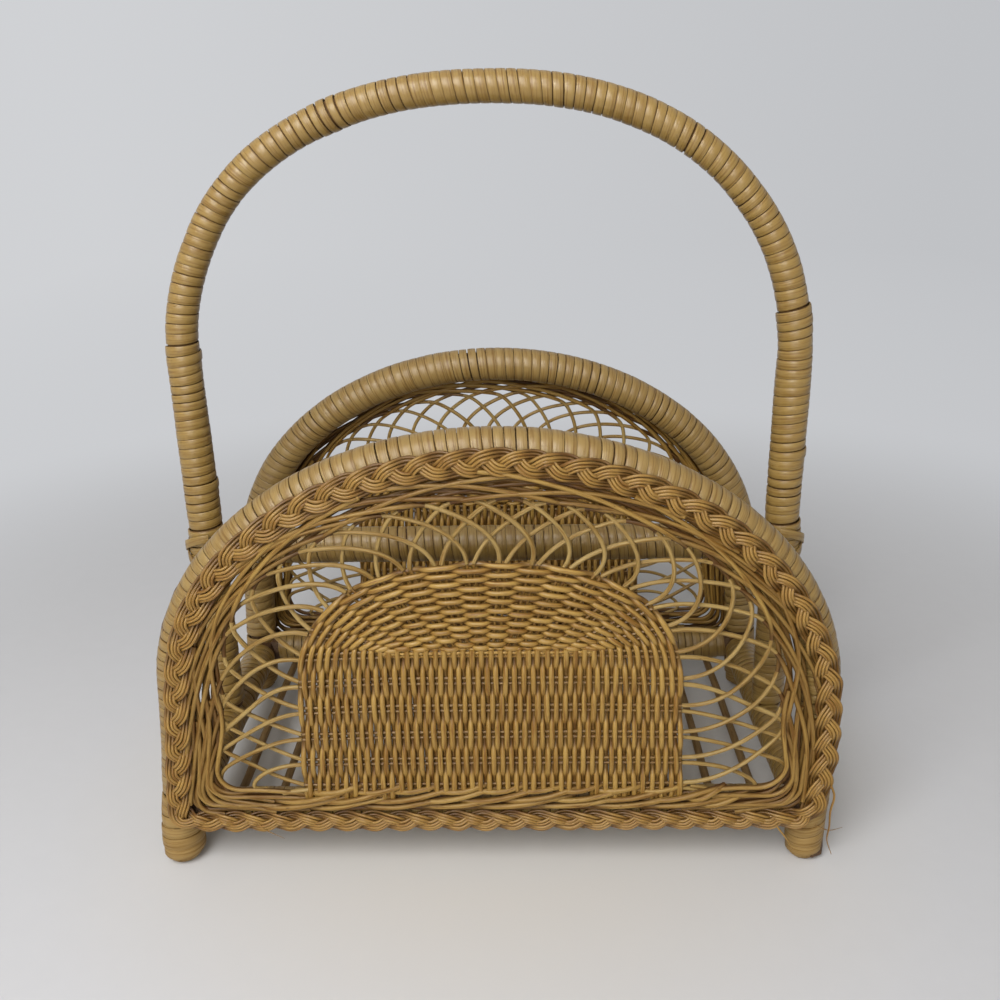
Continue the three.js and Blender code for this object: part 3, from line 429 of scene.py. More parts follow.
def wind_hoop(side, sign, cane):
    node = f"{side}_hoop_binding"
    route = hoop_route(sign * HOOP_Y)
    start = route.where(2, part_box(node)[0].z - HOOP_RUN_ON)
    loose = [(start + share * (route.length - 2 * start), gap) for share, gap in HOOP_LOOSE]
    wound_piece(
        f"{side}_hoop_cane", node, "hoop_cane", named_rng(side + "hoop"), route, start, route.length - start,
        cane.hoop_bore, cane, tilt=HOOP_TILT, loose=loose,
    )


RAIL_RUN_ON = (0.0016, 0.0022)  # how far the cane runs on into the legs, for rails along x and along y


def wind_rail(node, name, facing, cane):
    low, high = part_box(node)
    axis = 0 if high.x - low.x > high.y - low.y else 1
    ends = np.tile((np.array(low) + np.array(high)) / 2, (2, 1))
    ends[:, axis] = low[axis] - RAIL_RUN_ON[axis], high[axis] + RAIL_RUN_ON[axis]
    route = Route(np.linspace(*ends, 80))
    wound_piece(
        name, node, "cane", named_rng(node), route, 0, route.length, cane.rail_bore, cane, facing=facing,
    )


TAPER_FROM, TAPER_TO = 0.2, 0.4  # heights between which the handle grows thinner
POLE_FOOT = 0.0035  # how far above the end of the handle's solid its pole starts
POLE_PLAY = 0.0005  # between the pole and the cane round it
HANDLE_TILT, ARCH_TILT = 0.0009, 0.0013
# How far a length of cane runs on past its solid: downward, upward, and then both ways along the pole
LENGTH_DOWN, LENGTH_UP, LENGTH_RUN_ON = 0.0005, 0.0012, 0.0018
ARCH_LIFT, ARCH_OVERLAP = 0.0008, 0.003  # where the arch's length takes over, and how far it laps the others
ARCH_CLOSER = 0.0003  # how much closer the arch's length lies

# By height: swells as (height, rise, reach, side) and turns that stand open as (height, gap)
HANDLE_LUMPS = {
    "left_upper": [(0.209, 0.0013, 0.0028, -1), (0.295, 0.0009, 0.005, -0.6)],
    "right_upper": [(0.312, 0.0011, 0.011, 0.4), (0.228, 0.0008, 0.003, 1), (0.268, 0.0004, 0.02, 0)],
}
HANDLE_LOOSE = {
    "left_upper": [(0.2, 0.0009)],
    "right_upper": [(0.233, 0.0011), (0.203, 0.0013), (0.193, 0.0009)],
}
# The same over the arch, by the distance from its middle
ARCH_LUMPS = [(-0.088, 0.0005, 0.009, 0)]
ARCH_LOOSE = [
    (-0.105, 0.0008), (-0.093, 0.0013), (-0.086, 0.0014), (-0.078, 0.0010),
    (0.02, 0.0008), (0.045, 0.001), (0.12, 0.001),
]


def handle_bore(route, cane):
    """The cane lies closer over the thinner top of the handle than at its legs."""
    def bore(along):
        height = route.place(along)[..., 2]
        share = np.clip((height - TAPER_FROM) / (TAPER_TO - TAPER_FROM), 0, 1)
        return cane.handle_bore - cane.handle_taper * share * share * (3 - 2 * share)
    return bore


def handle_pole(cane):
    """The bent pole inside the handle's cane, thinner over the arch."""
    route = handle_route()
    start = route.where(2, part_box("handle")[0].z + POLE_FOOT)
    along = np.linspace(start, route.length - start, 260)
    weave = Weave()
    radius = handle_bore(route, cane)(along) - POLE_PLAY
    weave.reed(route.place(along), radius, facing=BACKWARD, sides=16)
    weave.finish("handle_pole", "pole", "pole", "handle")


def wind_handle(cane):
    """Two lengths of cane up each leg, and one over the arch that takes over from them."""
    route = handle_route()
    base = handle_bore(route, cane)
    half = route.length / 2

    def length_of(name, start, end, bore, axis, after, lumps, loose, tilt):
        swells = [(route.where(axis, at, after), *rest) for at, *rest in lumps]
        open_turns = [(route.where(axis, at, after), gap) for at, gap in loose]
        wound_piece(
            f"handle_{name}_cane", f"handle_{name}_binding", "cane", named_rng(name), route, start, end, bore,
            cane, tilt=tilt, loose=open_turns, swells=swells,
        )

    tops = {}
    for name in ("left_lower", "left_upper", "right_upper", "right_lower"):
        low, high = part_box(f"handle_{name}_binding")
        after = 0 if name.startswith("left") else half
        heights = (low.z - LENGTH_DOWN, high.z + LENGTH_UP)
        start, end = sorted(route.where(2, height, after) for height in heights)
        lumps, loose = HANDLE_LUMPS.get(name, ()), HANDLE_LOOSE.get(name, ())
        length_of(name, start - LENGTH_RUN_ON, end + LENGTH_RUN_ON, base, 2, after, lumps, loose, HANDLE_TILT)
        tops[name] = route.where(2, high.z + ARCH_LIFT, after)
    length_of(
        "arch", tops["left_upper"] - ARCH_OVERLAP, tops["right_upper"] + ARCH_OVERLAP,
        lambda along: base(along) - ARCH_CLOSER, 0, 0, ARCH_LUMPS, ARCH_LOOSE, ARCH_TILT,
    )


FOOT_PITCH, FOOT_TILT, FOOT_LEAN = 0.0066, 0.001, 0.0013
FOOT_START, FOOT_RUN_ON = 0.0024, 0.0012  # where the cane starts, and how far it runs on above its solid
# The two front feet are a little thicker or thinner than the rest and stand off the leg's line: girth, shift
FOOT_QUIRKS = {"front_left": (1.11, 0.0014), "front_right": (0.97, -0.0022)}
SHIFT_HEIGHT = 0.04  # where a shifted foot is back on the leg's line
GIRTH_HEIGHTS = (0.018, 0.03)  # a foot's own girth fades out between these
FOOT_HEIGHTS = np.array([0, 0.002, 0.006, 0.012, 0.02, 0.027, 0.034, 0.06])
FOOT_REACHES = np.array([0.0066, 0.0086, 0.0100, 0.0107, 0.0109, 0.0107, 0.0106, 0.0104])
# The domed plug inside a foot's cane: radius, height
FOOT_PLUG = np.array([
    [0, 0.0012], [0.0052, 0.0002], [0.0074, 0.0008], [0.0090, 0.0026], [0.0100, 0.006], [0.0102, 0.014],
])
PLUG_TIP = 1e-5  # keeps the plug's point a small round, because a skin's sections can't close up


def wind_foot(name, x_sign, y_sign, cane):
    """Wide sloping turns of cane over a leg's end, on a domed plug that takes the floor."""
    rng = named_rng(name)
    node = f"{name}_foot"
    foot = np.array([x_sign * leg_half_width(0), y_sign * HOOP_Y, 0.0])
    spring = np.array([x_sign * leg_half_width(HOOP_SPRING), y_sign * HOOP_Y, HOOP_SPRING])
    girth, shift = FOOT_QUIRKS.get(name, (1.0, 0.0))
    line = np.linspace(foot, spring, 60)
    line[:, 0] += shift * np.clip(1 - line[:, 2] / SHIFT_HEIGHT, 0, 1)
    line[:, [0, 2]] = leaned(line[:, [0, 2]], 1.0 if y_sign < 0 else 0.0)
    low, high = GIRTH_HEIGHTS
    reaches = FOOT_REACHES * (1 + (girth - 1) * np.clip((high - FOOT_HEIGHTS) / (high - low), 0, 1))
    weave = Weave()
    radius, height = FOOT_PLUG.T
    weave.reed(line[0] + np.outer(height, UP), girth * radius + PLUG_TIP, facing=BACKWARD, sides=28)
    wind(
        weave, rng, Route(line), FOOT_START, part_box(node)[1].z + FOOT_RUN_ON,
        lambda along: np.interp(along, FOOT_HEIGHTS, reaches), cane,
        pitch=FOOT_PITCH, tilt=FOOT_TILT, lean=FOOT_LEAN * x_sign,
    )
    weave.finish(f"{node}_cane", "foot_cane", "cane", node)


LASHING_PITCH, LASHING_TILT = 0.0058, 0.0012
LASHING_DOWN, LASHING_UP = 0.0015, 0.0034  # how far the turns run on past their solid
LASHING_CLOSER, LASHING_BULGE = 0.0001, 0.0014  # how much closer they lie than the handle's, and their bulge
# The strips that cross over the turns: how far round they reach, radius, step from one to the next, width,
# climb, and how fast they climb
CROSS_REACH = 0.62 * np.pi
CROSS_RADIUS, CROSS_STEP, CROSS_WIDTH, CROSS_CLIMB, CROSS_PACE = 0.0124, 0.0009, 0.0056, 0.0105, 0.78


def wind_lashing(side, sign, cane):
    """Turns that bulge over the divider's joint, with strips that cross over them."""
    rng = named_rng(side + "lashing")
    node = f"{side}_divider_lashing"
    low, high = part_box(node)
    x = sign * (leg_half_width(RAIL_HEIGHT) - HANDLE_INSET)
    route = Route(np.linspace([x, 0, low.z - LASHING_DOWN], [x, 0, high.z + LASHING_UP], 60))
    half = route.length / 2

    def bore(along):
        bulge = np.clip(1 - ((along - half) / half) ** 2, 0, 1)
        return cane.handle_bore - LASHING_CLOSER + LASHING_BULGE * bulge

    weave = Weave()
    wind(weave, rng, route, 0, route.length, bore, cane, pitch=LASHING_PITCH, tilt=LASHING_TILT)
    angle = np.linspace(-CROSS_REACH, CROSS_REACH, 60)
    outward = np.stack([sign * np.cos(angle), np.sin(angle), 0 * angle], -1)
    for turn, lift in ((1, 0.0), (-1, CROSS_STEP)):
        centre = np.array([x, 0, (low.z + high.z) / 2]) + outward * (CROSS_RADIUS + lift)
        centre[:, 2] += turn * CROSS_CLIMB * np.sin(angle * CROSS_PACE)
        weave.strip(centre, outward, np.full(60, CROSS_WIDTH), np.full(60, cane.thickness))
    weave.finish(f"{side}_lashing_cane", "cane", "cane", node)


# The panels

# How far the plait and the border's inner edge lie off an even curve, at the left and the right, by height
BOW_HEIGHTS = [0.035, 0.055, 0.075, 0.1, 0.115, 0.13, 0.15, 0.17, 0.2]
PLAIT_BOW = (
    [0, 0, 0, 0, 0, -0.001, -0.001, 0, 0],
    [0, 0.0025, 0.0048, 0.0058, 0.0055, 0.0045, 0.0025, 0.001, 0],
)
BORDER_BOW = (
    [0, -0.001, -0.004, -0.0073, -0.0077, -0.0078, -0.0053, -0.002, 0],
    [0, 0.0025, 0.0022, -0.0015, -0.0035, -0.0046, -0.003, -0.001, 0],
)
# Each band's outer and inner edge: insets at the side and the top, bottom and corner, and the bow
PLAIT_EDGES = (((-0.0038, -0.0038, 0.0298, 0.0150), PLAIT_BOW), ((0.0107, 0.0107, 0.0423, 0.0050), PLAIT_BOW))
BORDER_EDGES = (((0.01, 0.01, 0.0426, 0.009), PLAIT_BOW), ((0.0235, 0.0265, 0.0590, 0.016), BORDER_BOW))


def bowed(points, left, right, turned):
    """A ring with its sides moved outward by heights, as they lie in the real weave."""
    x, height = points.T
    shift = np.where(x < 0, np.interp(height, BOW_HEIGHTS, left), np.interp(height, BOW_HEIGHTS, right))
    flat = np.stack([x + np.sign(x) * shift, height], -1)
    return leaned(flat, 0.0 if turned else 1.0)


def bowed_band(edges, turned):
    return Band(*(bowed(ring(*sizes), *bow, turned) for sizes, bow in edges))


# Slow drifts in the plait, as the distance between bends and the size of a bend
PLAIT_PACE, PLAIT_GIRTH = (0.09, 0.12), (0.05, 0.08)
PLAIT_DRIFT, PLAIT_LIFT = (0.02, 0.00022), (0.015, 0.0002)
PLAIT_STEPS = 44  # points in one repeat
PLAIT_SEAM = 0.03  # distance from the plait's two ends over which the drift in its pace dies away
LOBE_LEAN = 0.24  # how far a strand's swing runs ahead of its rise, in radians
CALM_HEIGHTS, CALM_SHARES = [0.044, 0.07], [0.78, 1]  # the strands swing less along the bottom
PLAIT_MIDDLE = PLAIT_BACK + 0.0026
REED_SPACING = 1.96  # in radii
STRAND_CROWN = 0.0002  # how much lower a strand's outer reeds lie


def plait_ring(side, turned, reed):
    """Three strands of reeds that pass over and under each other all round the hoop's face."""
    rng = named_rng(side + "plait")
    band = bowed_band(PLAIT_EDGES, turned)
    repeats = round(band.length / reed.plait_repeat)
    along = np.linspace(0, band.length, repeats * PLAIT_STEPS + 1)
    pace = wander(rng, along, *PLAIT_PACE)
    pace = pace * np.clip(np.minimum(along, band.length - along) / PLAIT_SEAM, 0, 1)
    weave = Weave()
    reeds = reed.plait_reeds
    for strand in range(3):
        angle = 2 * np.pi * (along / band.length * repeats + strand / 3) + pace
        swing = np.tanh(reed.plait_hook * np.sin(angle + LOBE_LEAN)) / math.tanh(reed.plait_hook)
        swing *= np.interp(band.flat(along, 0.5)[:, 1], CALM_HEIGHTS, CALM_SHARES)
        depth = PLAIT_MIDDLE - reed.plait_depth * np.sin(2 * angle)
        centre = band.spot(along, 0.5 + reed.plait_swing * swing, depth)
        travel = unit(np.gradient(centre, axis=0))
        sideways = unit(np.cross(travel, FORWARD))
        for i in range(reeds):
            offset = (i - (reeds - 1) / 2) * reed.plait_radius * REED_SPACING
            crown = -STRAND_CROWN * (2 * offset / (reeds * reed.plait_radius)) ** 2
            aside = offset + wander(rng, along, *PLAIT_DRIFT)
            ahead = crown + wander(rng, along, *PLAIT_LIFT)
            path = centre + sideways * aside[:, None] + FORWARD * ahead[:, None]
            weave.reed(path, reed.plait_radius * (1 + wander(rng, along, *PLAIT_GIRTH)), sides=7)
    if not turned:
        stray_fibres(weave)
    weave.finish(f"{side}_plait_reeds", "plait", "plait", f"{side}_plait", turned)


# Broken ends of reed that stand off the front plait, near the right foot and at the left: radius, points
STRAY_FIBRES = (
    (0.0007, [
        (0.1965, 0.0610), (0.1995, 0.0540), (0.1972, 0.0440), (0.1976, 0.0330), (0.1962, 0.0250),
        (0.2000, 0.0150),
    ]),
    (0.00065, [(0.1660, 0.0345), (0.1700, 0.0290), (0.1736, 0.0248), (0.1768, 0.0180)]),
    (0.0003, [(0.1900, 0.0330), (0.1975, 0.0300), (0.2045, 0.0345)]),
    (0.0003, [(-0.1420, 0.0400), (-0.1370, 0.0330), (-0.1290, 0.0300), (-0.1240, 0.0282)]),
    (0.00028, [(-0.1300, 0.0392), (-0.1210, 0.0350), (-0.1130, 0.0352)]),
)
STRAY_DEPTH = PLAIT_BACK + 0.004
STRAY_RISE = 0.004  # how much further forward their tips stand


def stray_fibres(weave):
    for radius, line in STRAY_FIBRES:
        flat = softened(respaced(np.array(line), 0.0012), 4)
        share = np.linspace(0, 1, len(flat))
        path = standing(flat, 0) + np.outer(STRAY_DEPTH + STRAY_RISE * share, FORWARD)
        weave.reed(path, radius * (1 - 0.7 * share ** 2), sides=5)


def medallion_outline():
    spring = MEDALLION_BOTTOM + MEDALLION_SIDE_HEIGHT
    foot = MEDALLION_HALF_WIDTH + MEDALLION_FLARE
    arch = squarish_arch(MEDALLION_HALF_WIDTH, MEDALLION_RISE, spring, MEDALLION_POWER)
    return Route(np.concatenate([[[-foot, MEDALLION_BOTTOM]], arch, [[foot, MEDALLION_BOTTOM]]]))


def block_outline():
    """Where each reed pair meets the upright block: up its side, round its corner, along its top."""
    column = np.linspace(0, REED_PAIRS, 521)
    mirrored = np.minimum(column, REED_PAIRS - column)
    height = np.minimum(MEDALLION_BOTTOM + LEVEL_STEP * mirrored, BLOCK_TOP)
    along = np.clip((column - SIDE_PAIRS) / (REED_PAIRS - 2 * SIDE_PAIRS), 0, 1)
    flat = np.stack([BLOCK_HALF_WIDTH * (2 * along - 1), height], -1)
    return softened(flat, 10)


def woven_grid():
    """Places in the medallion: a share round it, and a share from the block out to its rim."""
    rim = medallion_outline()
    inside = block_outline()
    columns = np.linspace(0, 1, len(inside))

    def place(share, outward):
        share = np.clip(share, 0, 1)
        block = np.stack([np.interp(share, columns, column) for column in inside.T], -1)
        edge = rim.place(share * rim.length)
        return block + (edge - block) * np.reshape(outward, (-1, 1))
    return place


# Slow drifts in the medallion, as the distance between bends and the size of a bend
ROW_DRIFT_SPACING, ROW_DRIFT = 0.05, 0.2  # in shares of the way round, and in spacings of the rows
UPRIGHT_DRIFT, HEADING_DRIFT = (0.02, 0.00034), (0.02, 0.0003)
ARCH_GIRTH, UPRIGHT_GIRTH = (0.03, 0.06), (0.02, 0.07)
ARCH_SLIP, UPRIGHT_SLIP = 0.06, 0.07  # how much single weavers differ in thickness
UPRIGHT_TOP = BLOCK_TOP + 0.0006
# The three twined rows over the block: how far they reach past it, how far below its top the first lies,
# their spacing, their swing, how far they stand off, and their thickness, in stakes
HEADING_REACH, HEADING_DROP, HEADING_STEP = 0.002, 0.0035, 0.0022
HEADING_SWING, HEADING_DEPTH, HEADING_SHARE = 0.0006, 0.0012, 1.1


def medallion_weave(side, turned, reed):
    rng = named_rng(side + "medallion")
    place = woven_grid()
    weave = Weave()

    def over(wave):
        return reed.weave_swing * np.tanh(1.5 * wave) / math.tanh(1.5)

    def size(radius, slip):
        return radius * (1 + rng.uniform(-slip, slip))

    share = np.linspace(0, 1, 440)
    rows = reed.arch_rows
    for i in range(rows):
        flat = place(share, (i + 0.5) / rows + wander(rng, share, ROW_DRIFT_SPACING, ROW_DRIFT / rows))
        depth = WEAVE_PLANE + (-1) ** i * over(np.sin(REED_PAIRS * np.pi * share))
        flat = np.concatenate([[[flat[0, 0], WEAVE_FOOT]], flat, [[flat[-1, 0], WEAVE_FOOT]]])
        depth = np.concatenate([depth[:1], depth, depth[-1:]])
        path = np.stack([flat[:, 0], -depth, flat[:, 1]], -1)
        radius = size(reed.arch_radius, ARCH_SLIP)
        weave.reed(path, radius * (1 + wander(rng, np.linspace(0, 1, len(path)), *ARCH_GIRTH)), sides=8)
    uprights = reed.upright_rows
    height = np.linspace(WEAVE_FOOT, UPRIGHT_TOP, 100)
    for i in range(uprights):
        x = BLOCK_HALF_WIDTH * (2 * (i + 0.5) / uprights - 1)
        wave = np.sin(np.pi * (height - MEDALLION_BOTTOM) / LEVEL_STEP)
        depth = WEAVE_PLANE + (-1) ** (i + 1) * over(wave)
        path = np.stack([x + wander(rng, height, *UPRIGHT_DRIFT), -depth, height], -1)
        radius = size(reed.weaver_radius, UPRIGHT_SLIP)
        weave.reed(path, radius * (1 + wander(rng, height, *UPRIGHT_GIRTH)), sides=8)
    reach = BLOCK_HALF_WIDTH + HEADING_REACH
    across = np.linspace(-reach, reach, 160)
    for row in range(3):
        wave = np.sin(np.pi * across / (2 * BLOCK_HALF_WIDTH / uprights) + row * np.pi)
        rise = BLOCK_TOP - HEADING_DROP + HEADING_STEP * row + wander(rng, across, *HEADING_DRIFT)
        path = np.stack([across, -WEAVE_PLANE - HEADING_DEPTH - HEADING_SWING * wave, rise], -1)
        weave.reed(path, reed.stake_radius * HEADING_SHARE, sides=7)
    stakes(weave, place, reed)
    weave.finish(f"{side}_medallion_weave", "weaver", "reed", f"{side}_medallion", turned)


def stakes(weave, place, reed):
    """Pairs of reeds that the medallion is woven over: six level pairs and fourteen that fan out."""
    outward = np.linspace(0.02, 0.99, 30)
    for pair in range(REED_PAIRS):
        share = np.full(30, (pair + 0.5) / REED_PAIRS)
        level = min(pair, REED_PAIRS - 1 - pair) < SIDE_PAIRS
        if level and pair >= SIDE_PAIRS:
            continue
        flat = place(share, outward)
        if level:
            flat = np.concatenate([flat[::-1], place(1 - share, outward)])
        travel = unit(np.gradient(flat, axis=0))
        sideways = np.stack([-travel[:, 1], travel[:, 0]], -1)
        for sign in (-1, 1):
            line = flat + sign * reed.pair_spread / 2 * sideways
            weave.reed(standing(line, -WEAVE_PLANE), reed.stake_radius, sides=6)


LEVEL_START = 0.02  # height over the medallion's bottom from which the pairs are level at both ends
BORDER_FOOT, BORDER_TOE = 0.02, 0.041  # how far below that the lowest pair meets the border, and the next
LEVEL_SEARCH = 0.066  # below this height the border's side turns into its corner


def border_place(band, rim):
    """Where each reed pair meets the border: level with its root up the sides, evenly over the arch."""
    rise = rim.length / REED_PAIRS
    upright = MEDALLION_SIDE_HEIGHT / rise
    low, high = MEDALLION_BOTTOM + LEVEL_START, MEDALLION_BOTTOM + MEDALLION_SIDE_HEIGHT
    away = []
    for hand in (-1, 1):
        x, height = band.inner.T
        side = (x * hand > 0) & (height > LEVEL_SEARCH) & (height < HOOP_SPRING)
        order = np.argsort(height[side])
        at = np.interp([low, high], height[side][order], band.at[side][order])
        foot = abs(at[0] - band.top) + BORDER_FOOT
        away.append([foot + BORDER_TOE, foot, abs(at[1] - band.top), 0])

    def place(column):
        up = np.minimum(column, REED_PAIRS - column)
        left, right = (np.interp(up, [-1, 0, upright, REED_PAIRS / 2], marks) for marks in away)
        return np.where(column < REED_PAIRS / 2, band.top + left, band.top - right)
    return place


# A lattice reed's laid end: where across the border it starts, how much of its way out is a quick first turn,
# and how quick, as shares
TAIL_START, TAIL_TURN, TAIL_PACE = 0.98, 0.1, 0.06
TAIL_LIFTS = {"crossing": 0.0014, "onto": 0.0008, "under": -0.002}
TAIL_LIFT_SLIP, TAIL_LIFT_REACH = 0.0004, 0.02
TUCK, TUCK_AT, TUCK_REACH = 0.0016, 0.004, 0.006  # the dip where an end leaves the lattice
TAIL_DRIFT, TAIL_DEPTH_DRIFT = (0.3, 0.05), (0.2, 0.0004)
ROWS_TOP, ROWS_HALF_WIDTH = 0.0625, 0.128  # the place that the bottom rows have to themselves


def laid_tail(rng, band, start, run, heading, laid):
    """A lattice reed's end, laid along the border: it slides outward over its run, under or over the rest."""
    d = np.linspace(0, 1, 90)[1:]
    settle = 1 - np.exp(-d / TAIL_PACE)
    across = TAIL_START - (TAIL_TURN * settle + (1 - TAIL_TURN) * d) * rng.uniform(0.95, 1.1)
    flat = band.flat(start - heading * run * d, across + wander(rng, d, *TAIL_DRIFT) * settle)
    lift = TAIL_LIFTS[laid] + rng.uniform(-TAIL_LIFT_SLIP, TAIL_LIFT_SLIP)
    tuck = -TUCK * np.exp(-((d * run - TUCK_AT) / TUCK_REACH) ** 2)
    forward = lift * np.clip(d * run / TAIL_LIFT_REACH, 0, 1) + tuck + wander(rng, d, *TAIL_DEPTH_DRIFT)
    low = (flat[:, 1] < ROWS_TOP) & (np.abs(flat[:, 0]) < ROWS_HALF_WIDTH)
    kept = int(np.argmax(low)) if low.any() else len(flat)
    return flat[:kept], forward[:kept]


FRONT_BEND, BACK_BEND = 1.8, 1.25  # how much of a reed's lean comes late on its way
LEAN_SLIP, LEAN_DRIFT = 0.07, 0.05  # how much reeds differ in their lean, as a share and in pairs
LATTICE_LIFT = 0.0013  # how far the reeds that lean one way stand off the weave's plane
WIDEST_LANE = 0.026  # the most that a reed's end counts one place in the border for
RUN_ONTO, RUN_UNDER = (0.8, 1.15), (0.9, 1.5)  # how much the ends' lengths differ
REED_STEP = 0.0012
LATTICE_OVERRUN = 0.004  # how far a reed is the lattice's before the border takes it over
LATTICE_SLIP, LATTICE_GIRTH = 0.08, (0.1, 0.05)  # how much reeds differ in thickness, and the drift along one
PAST_FOOT = -0.3  # a reed that ends further than this past the last pair is laid the other way
END_NARROW = 0.2  # how much thinner a reed is at the end of its open part
BORDER_GIRTHS = (0.9, 0.22)  # in the border a reed starts this thick, and grows by this


def lattice_and_border(side, turned, reed):
    """Open reeds that lean both ways from the medallion, and their ends, which are laid into the border."""
    rng = named_rng(side + "lattice")
    rim = medallion_outline()
    band = bowed_band(BORDER_EDGES, turned)
    meeting = border_place(band, rim)
    lattice, border = Weave(), Weave()
    s = np.linspace(0, 1, 60)
    for pair in range(REED_PAIRS):
        for lean, reach, bend in ((-1, reed.front_lean, FRONT_BEND), (1, reed.back_lean, BACK_BEND)):
            sideways = reach * s ** bend * (1 + rng.uniform(-LEAN_SLIP, LEAN_SLIP))
            column = pair + 0.5 + lean * (sideways + rng.uniform(-LEAN_DRIFT, LEAN_DRIFT) * s)
            split = lean * reed.pair_spread / 2 * (1 - s)
            start = rim.place(np.clip(column / REED_PAIRS * rim.length + split, 0, rim.length))
            met = meeting(column)
            open_reed = start + (band.flat(met, 1) - start) * s[:, None]
            onto = (lean < 0) == (column[-1] < REED_PAIRS / 2)
            laid = "onto" if onto else "crossing" if pair % 3 == 1 else "under"
            lane = abs(meeting(column[-1] + 0.5) - meeting(column[-1] - 0.5))
            run = reed.border_lanes * min(lane, WIDEST_LANE) * rng.uniform(*(RUN_ONTO if onto else RUN_UNDER))
            heading = -lean if min(column[-1], REED_PAIRS - column[-1]) < PAST_FOOT else lean
            tail, tail_forward = laid_tail(rng, band, met[-1], run, heading, laid)
            flat = np.concatenate([open_reed, tail])
            forward = np.concatenate([-lean * LATTICE_LIFT * np.sin(np.pi * s), tail_forward])
            path = np.stack([flat[:, 0], -WEAVE_PLANE - forward, flat[:, 1]], -1)
            path = softened(respaced(path, REED_STEP), 8)
            split_at = round((Route(open_reed).length + LATTICE_OVERRUN) / REED_STEP)
            size = reed.lattice_radius * (1 + rng.uniform(-LATTICE_SLIP, LATTICE_SLIP))
            size = size * (1 + wander(rng, np.linspace(0, 1, len(path)), *LATTICE_GIRTH))
            ended = split_at + 5
            narrow = 1 - END_NARROW * np.clip((np.arange(min(len(path), ended)) - split_at) / 4, 0, 1)
            lattice.reed(path[:ended:2], (size[:ended] * narrow)[::2], sides=7)
            first, more = BORDER_GIRTHS
            growth = first + more * np.clip(np.arange(max(len(path) - split_at, 0)) / 8, 0, 1)
            if len(path) > split_at + 8:
                border.reed(path[split_at::2], (size[split_at:] * growth)[::2], sides=7)
    bottom_rows(border, rng, reed)
    corner_reeds(border, rng, reed, band)
    side_reeds(border, rng, reed, band)
    lattice.finish(f"{side}_lattice_reeds", "lattice", "reed", f"{side}_lattice", turned)
    border.finish(f"{side}_border_reeds", "border", "reed", f"{side}_border", turned)


# Half width, height of the lower ends, climb, spacing, overlap and lift of each row
BOTTOM_ROWS = (
    (0.1090, 0.0566, 0.0040, 0.0240, 1.34, 0.0042), (0.130, 0.0500, 0.0084, 0.027, 1.95, 0.0048),
    (0.142, 0.0456, 0.0070, 0.033, 1.7, 0.0040), (0.146, 0.0440, 0.0026, 0.047, 1.5, 0.0006),
)
ROW_SLIP, ROW_OVERLAP_SLIP, ROW_GIRTHS = 0.06, (0.95, 1.08), (1.2, 1.36)
# How far a row's last reed runs past it, how far its reeds lie back, their sag, and their drift in height
ROW_END, ROW_BACK, ROW_SAG, ROW_DRIFT_UP = 0.006, 0.0014, 0.0009, (0.3, 0.0004)


def bottom_rows(weave, rng, reed):
    """The rows under the medallion, in each of which every reed rises over the next."""
    s = np.linspace(0, 1, 40)
    rise = s * s * (3 - 2 * s)
    arch = np.sin(np.pi * s)
    for half, low, climb, spacing, overlap, lift in BOTTOM_ROWS:
        for x in np.arange(-half, half - spacing * 0.6, spacing):
            x = x + rng.uniform(-ROW_SLIP, ROW_SLIP) * spacing
            span = min(spacing * overlap * rng.uniform(*ROW_OVERLAP_SLIP), half + ROW_END - x)
            depth = -WEAVE_PLANE - lift * arch ** 0.8 + ROW_BACK
            height = low + climb * rise - ROW_SAG * arch + wander(rng, s, *ROW_DRIFT_UP)
            path = np.stack([x + s * span, depth, height], -1)
            weave.reed(path, reed.border_radius * rng.uniform(*ROW_GIRTHS), sides=7)


# Share across the border and lift of each reed round a lower corner
CORNER_REEDS = (
    (0.96, 0.0016), (0.80, -0.0010), (0.63, 0.0012), (0.45, -0.0016), (0.28, 0.0010), (0.08, -0.0004),
)
# Where a corner's reeds have their middle, by the leg's width at a height and a distance round from there,
# and how far they reach from it and slip
CORNER_HEIGHT, CORNER_ROUND, CORNER_REACH, CORNER_SLIP = 0.047, 0.02, 0.062, 0.01


def corner_reeds(weave, rng, reed, band):
    for share, lift in CORNER_REEDS:
        for hand in (-1, 1):
            corner = band.top + hand * (band.length / 2 - leg_half_width(CORNER_HEIGHT) + CORNER_ROUND)
            reach = np.linspace(-1, 1, 80)
            along = corner + CORNER_REACH * reach * rng.uniform(0.85, 1.1)
            along = along + rng.uniform(-CORNER_SLIP, CORNER_SLIP)
            across = share + wander(rng, along, 0.04, 0.05) - 0.25 * share * np.abs(reach) ** 4
            forward = WEAVE_PLANE + lift * (1 - reach ** 4) + wander(rng, along, 0.03, 0.0004)
            weave.reed(band.spot(along, across, forward), reed.border_radius * rng.uniform(1.0, 1.1), sides=7)


SIDE_REEDS = (0.66, 0.44, 0.22)  # shares across the border
# How far round from the bottom's middle a side reed has its own middle, how far it reaches from there, how
# much it slants across the border, and how far it lies behind the weave
SIDE_FROM_MIDDLE, SIDE_REACH, SIDE_SLANT, SIDE_BACK = 0.235, 0.085, 0.16, 0.0026


def side_reeds(weave, rng, reed, band):
    """Long reeds behind the others, up each side."""
    for share in SIDE_REEDS:
        for hand in (-1, 1):
            reach = np.linspace(-1, 1, 100)
            middle = band.top + hand * (band.length / 2 - SIDE_FROM_MIDDLE)
            along = middle + SIDE_REACH * reach * rng.uniform(0.85, 1.1)
            across = share + SIDE_SLANT * reach * hand + wander(rng, along, 0.03, 0.05)
            forward = WEAVE_PLANE - SIDE_BACK + wander(rng, along, 0.03, 0.0003)
            size = reed.border_radius * rng.uniform(0.95, 1.05)
            weave.reed(band.spot(along, across, forward), size, sides=7)


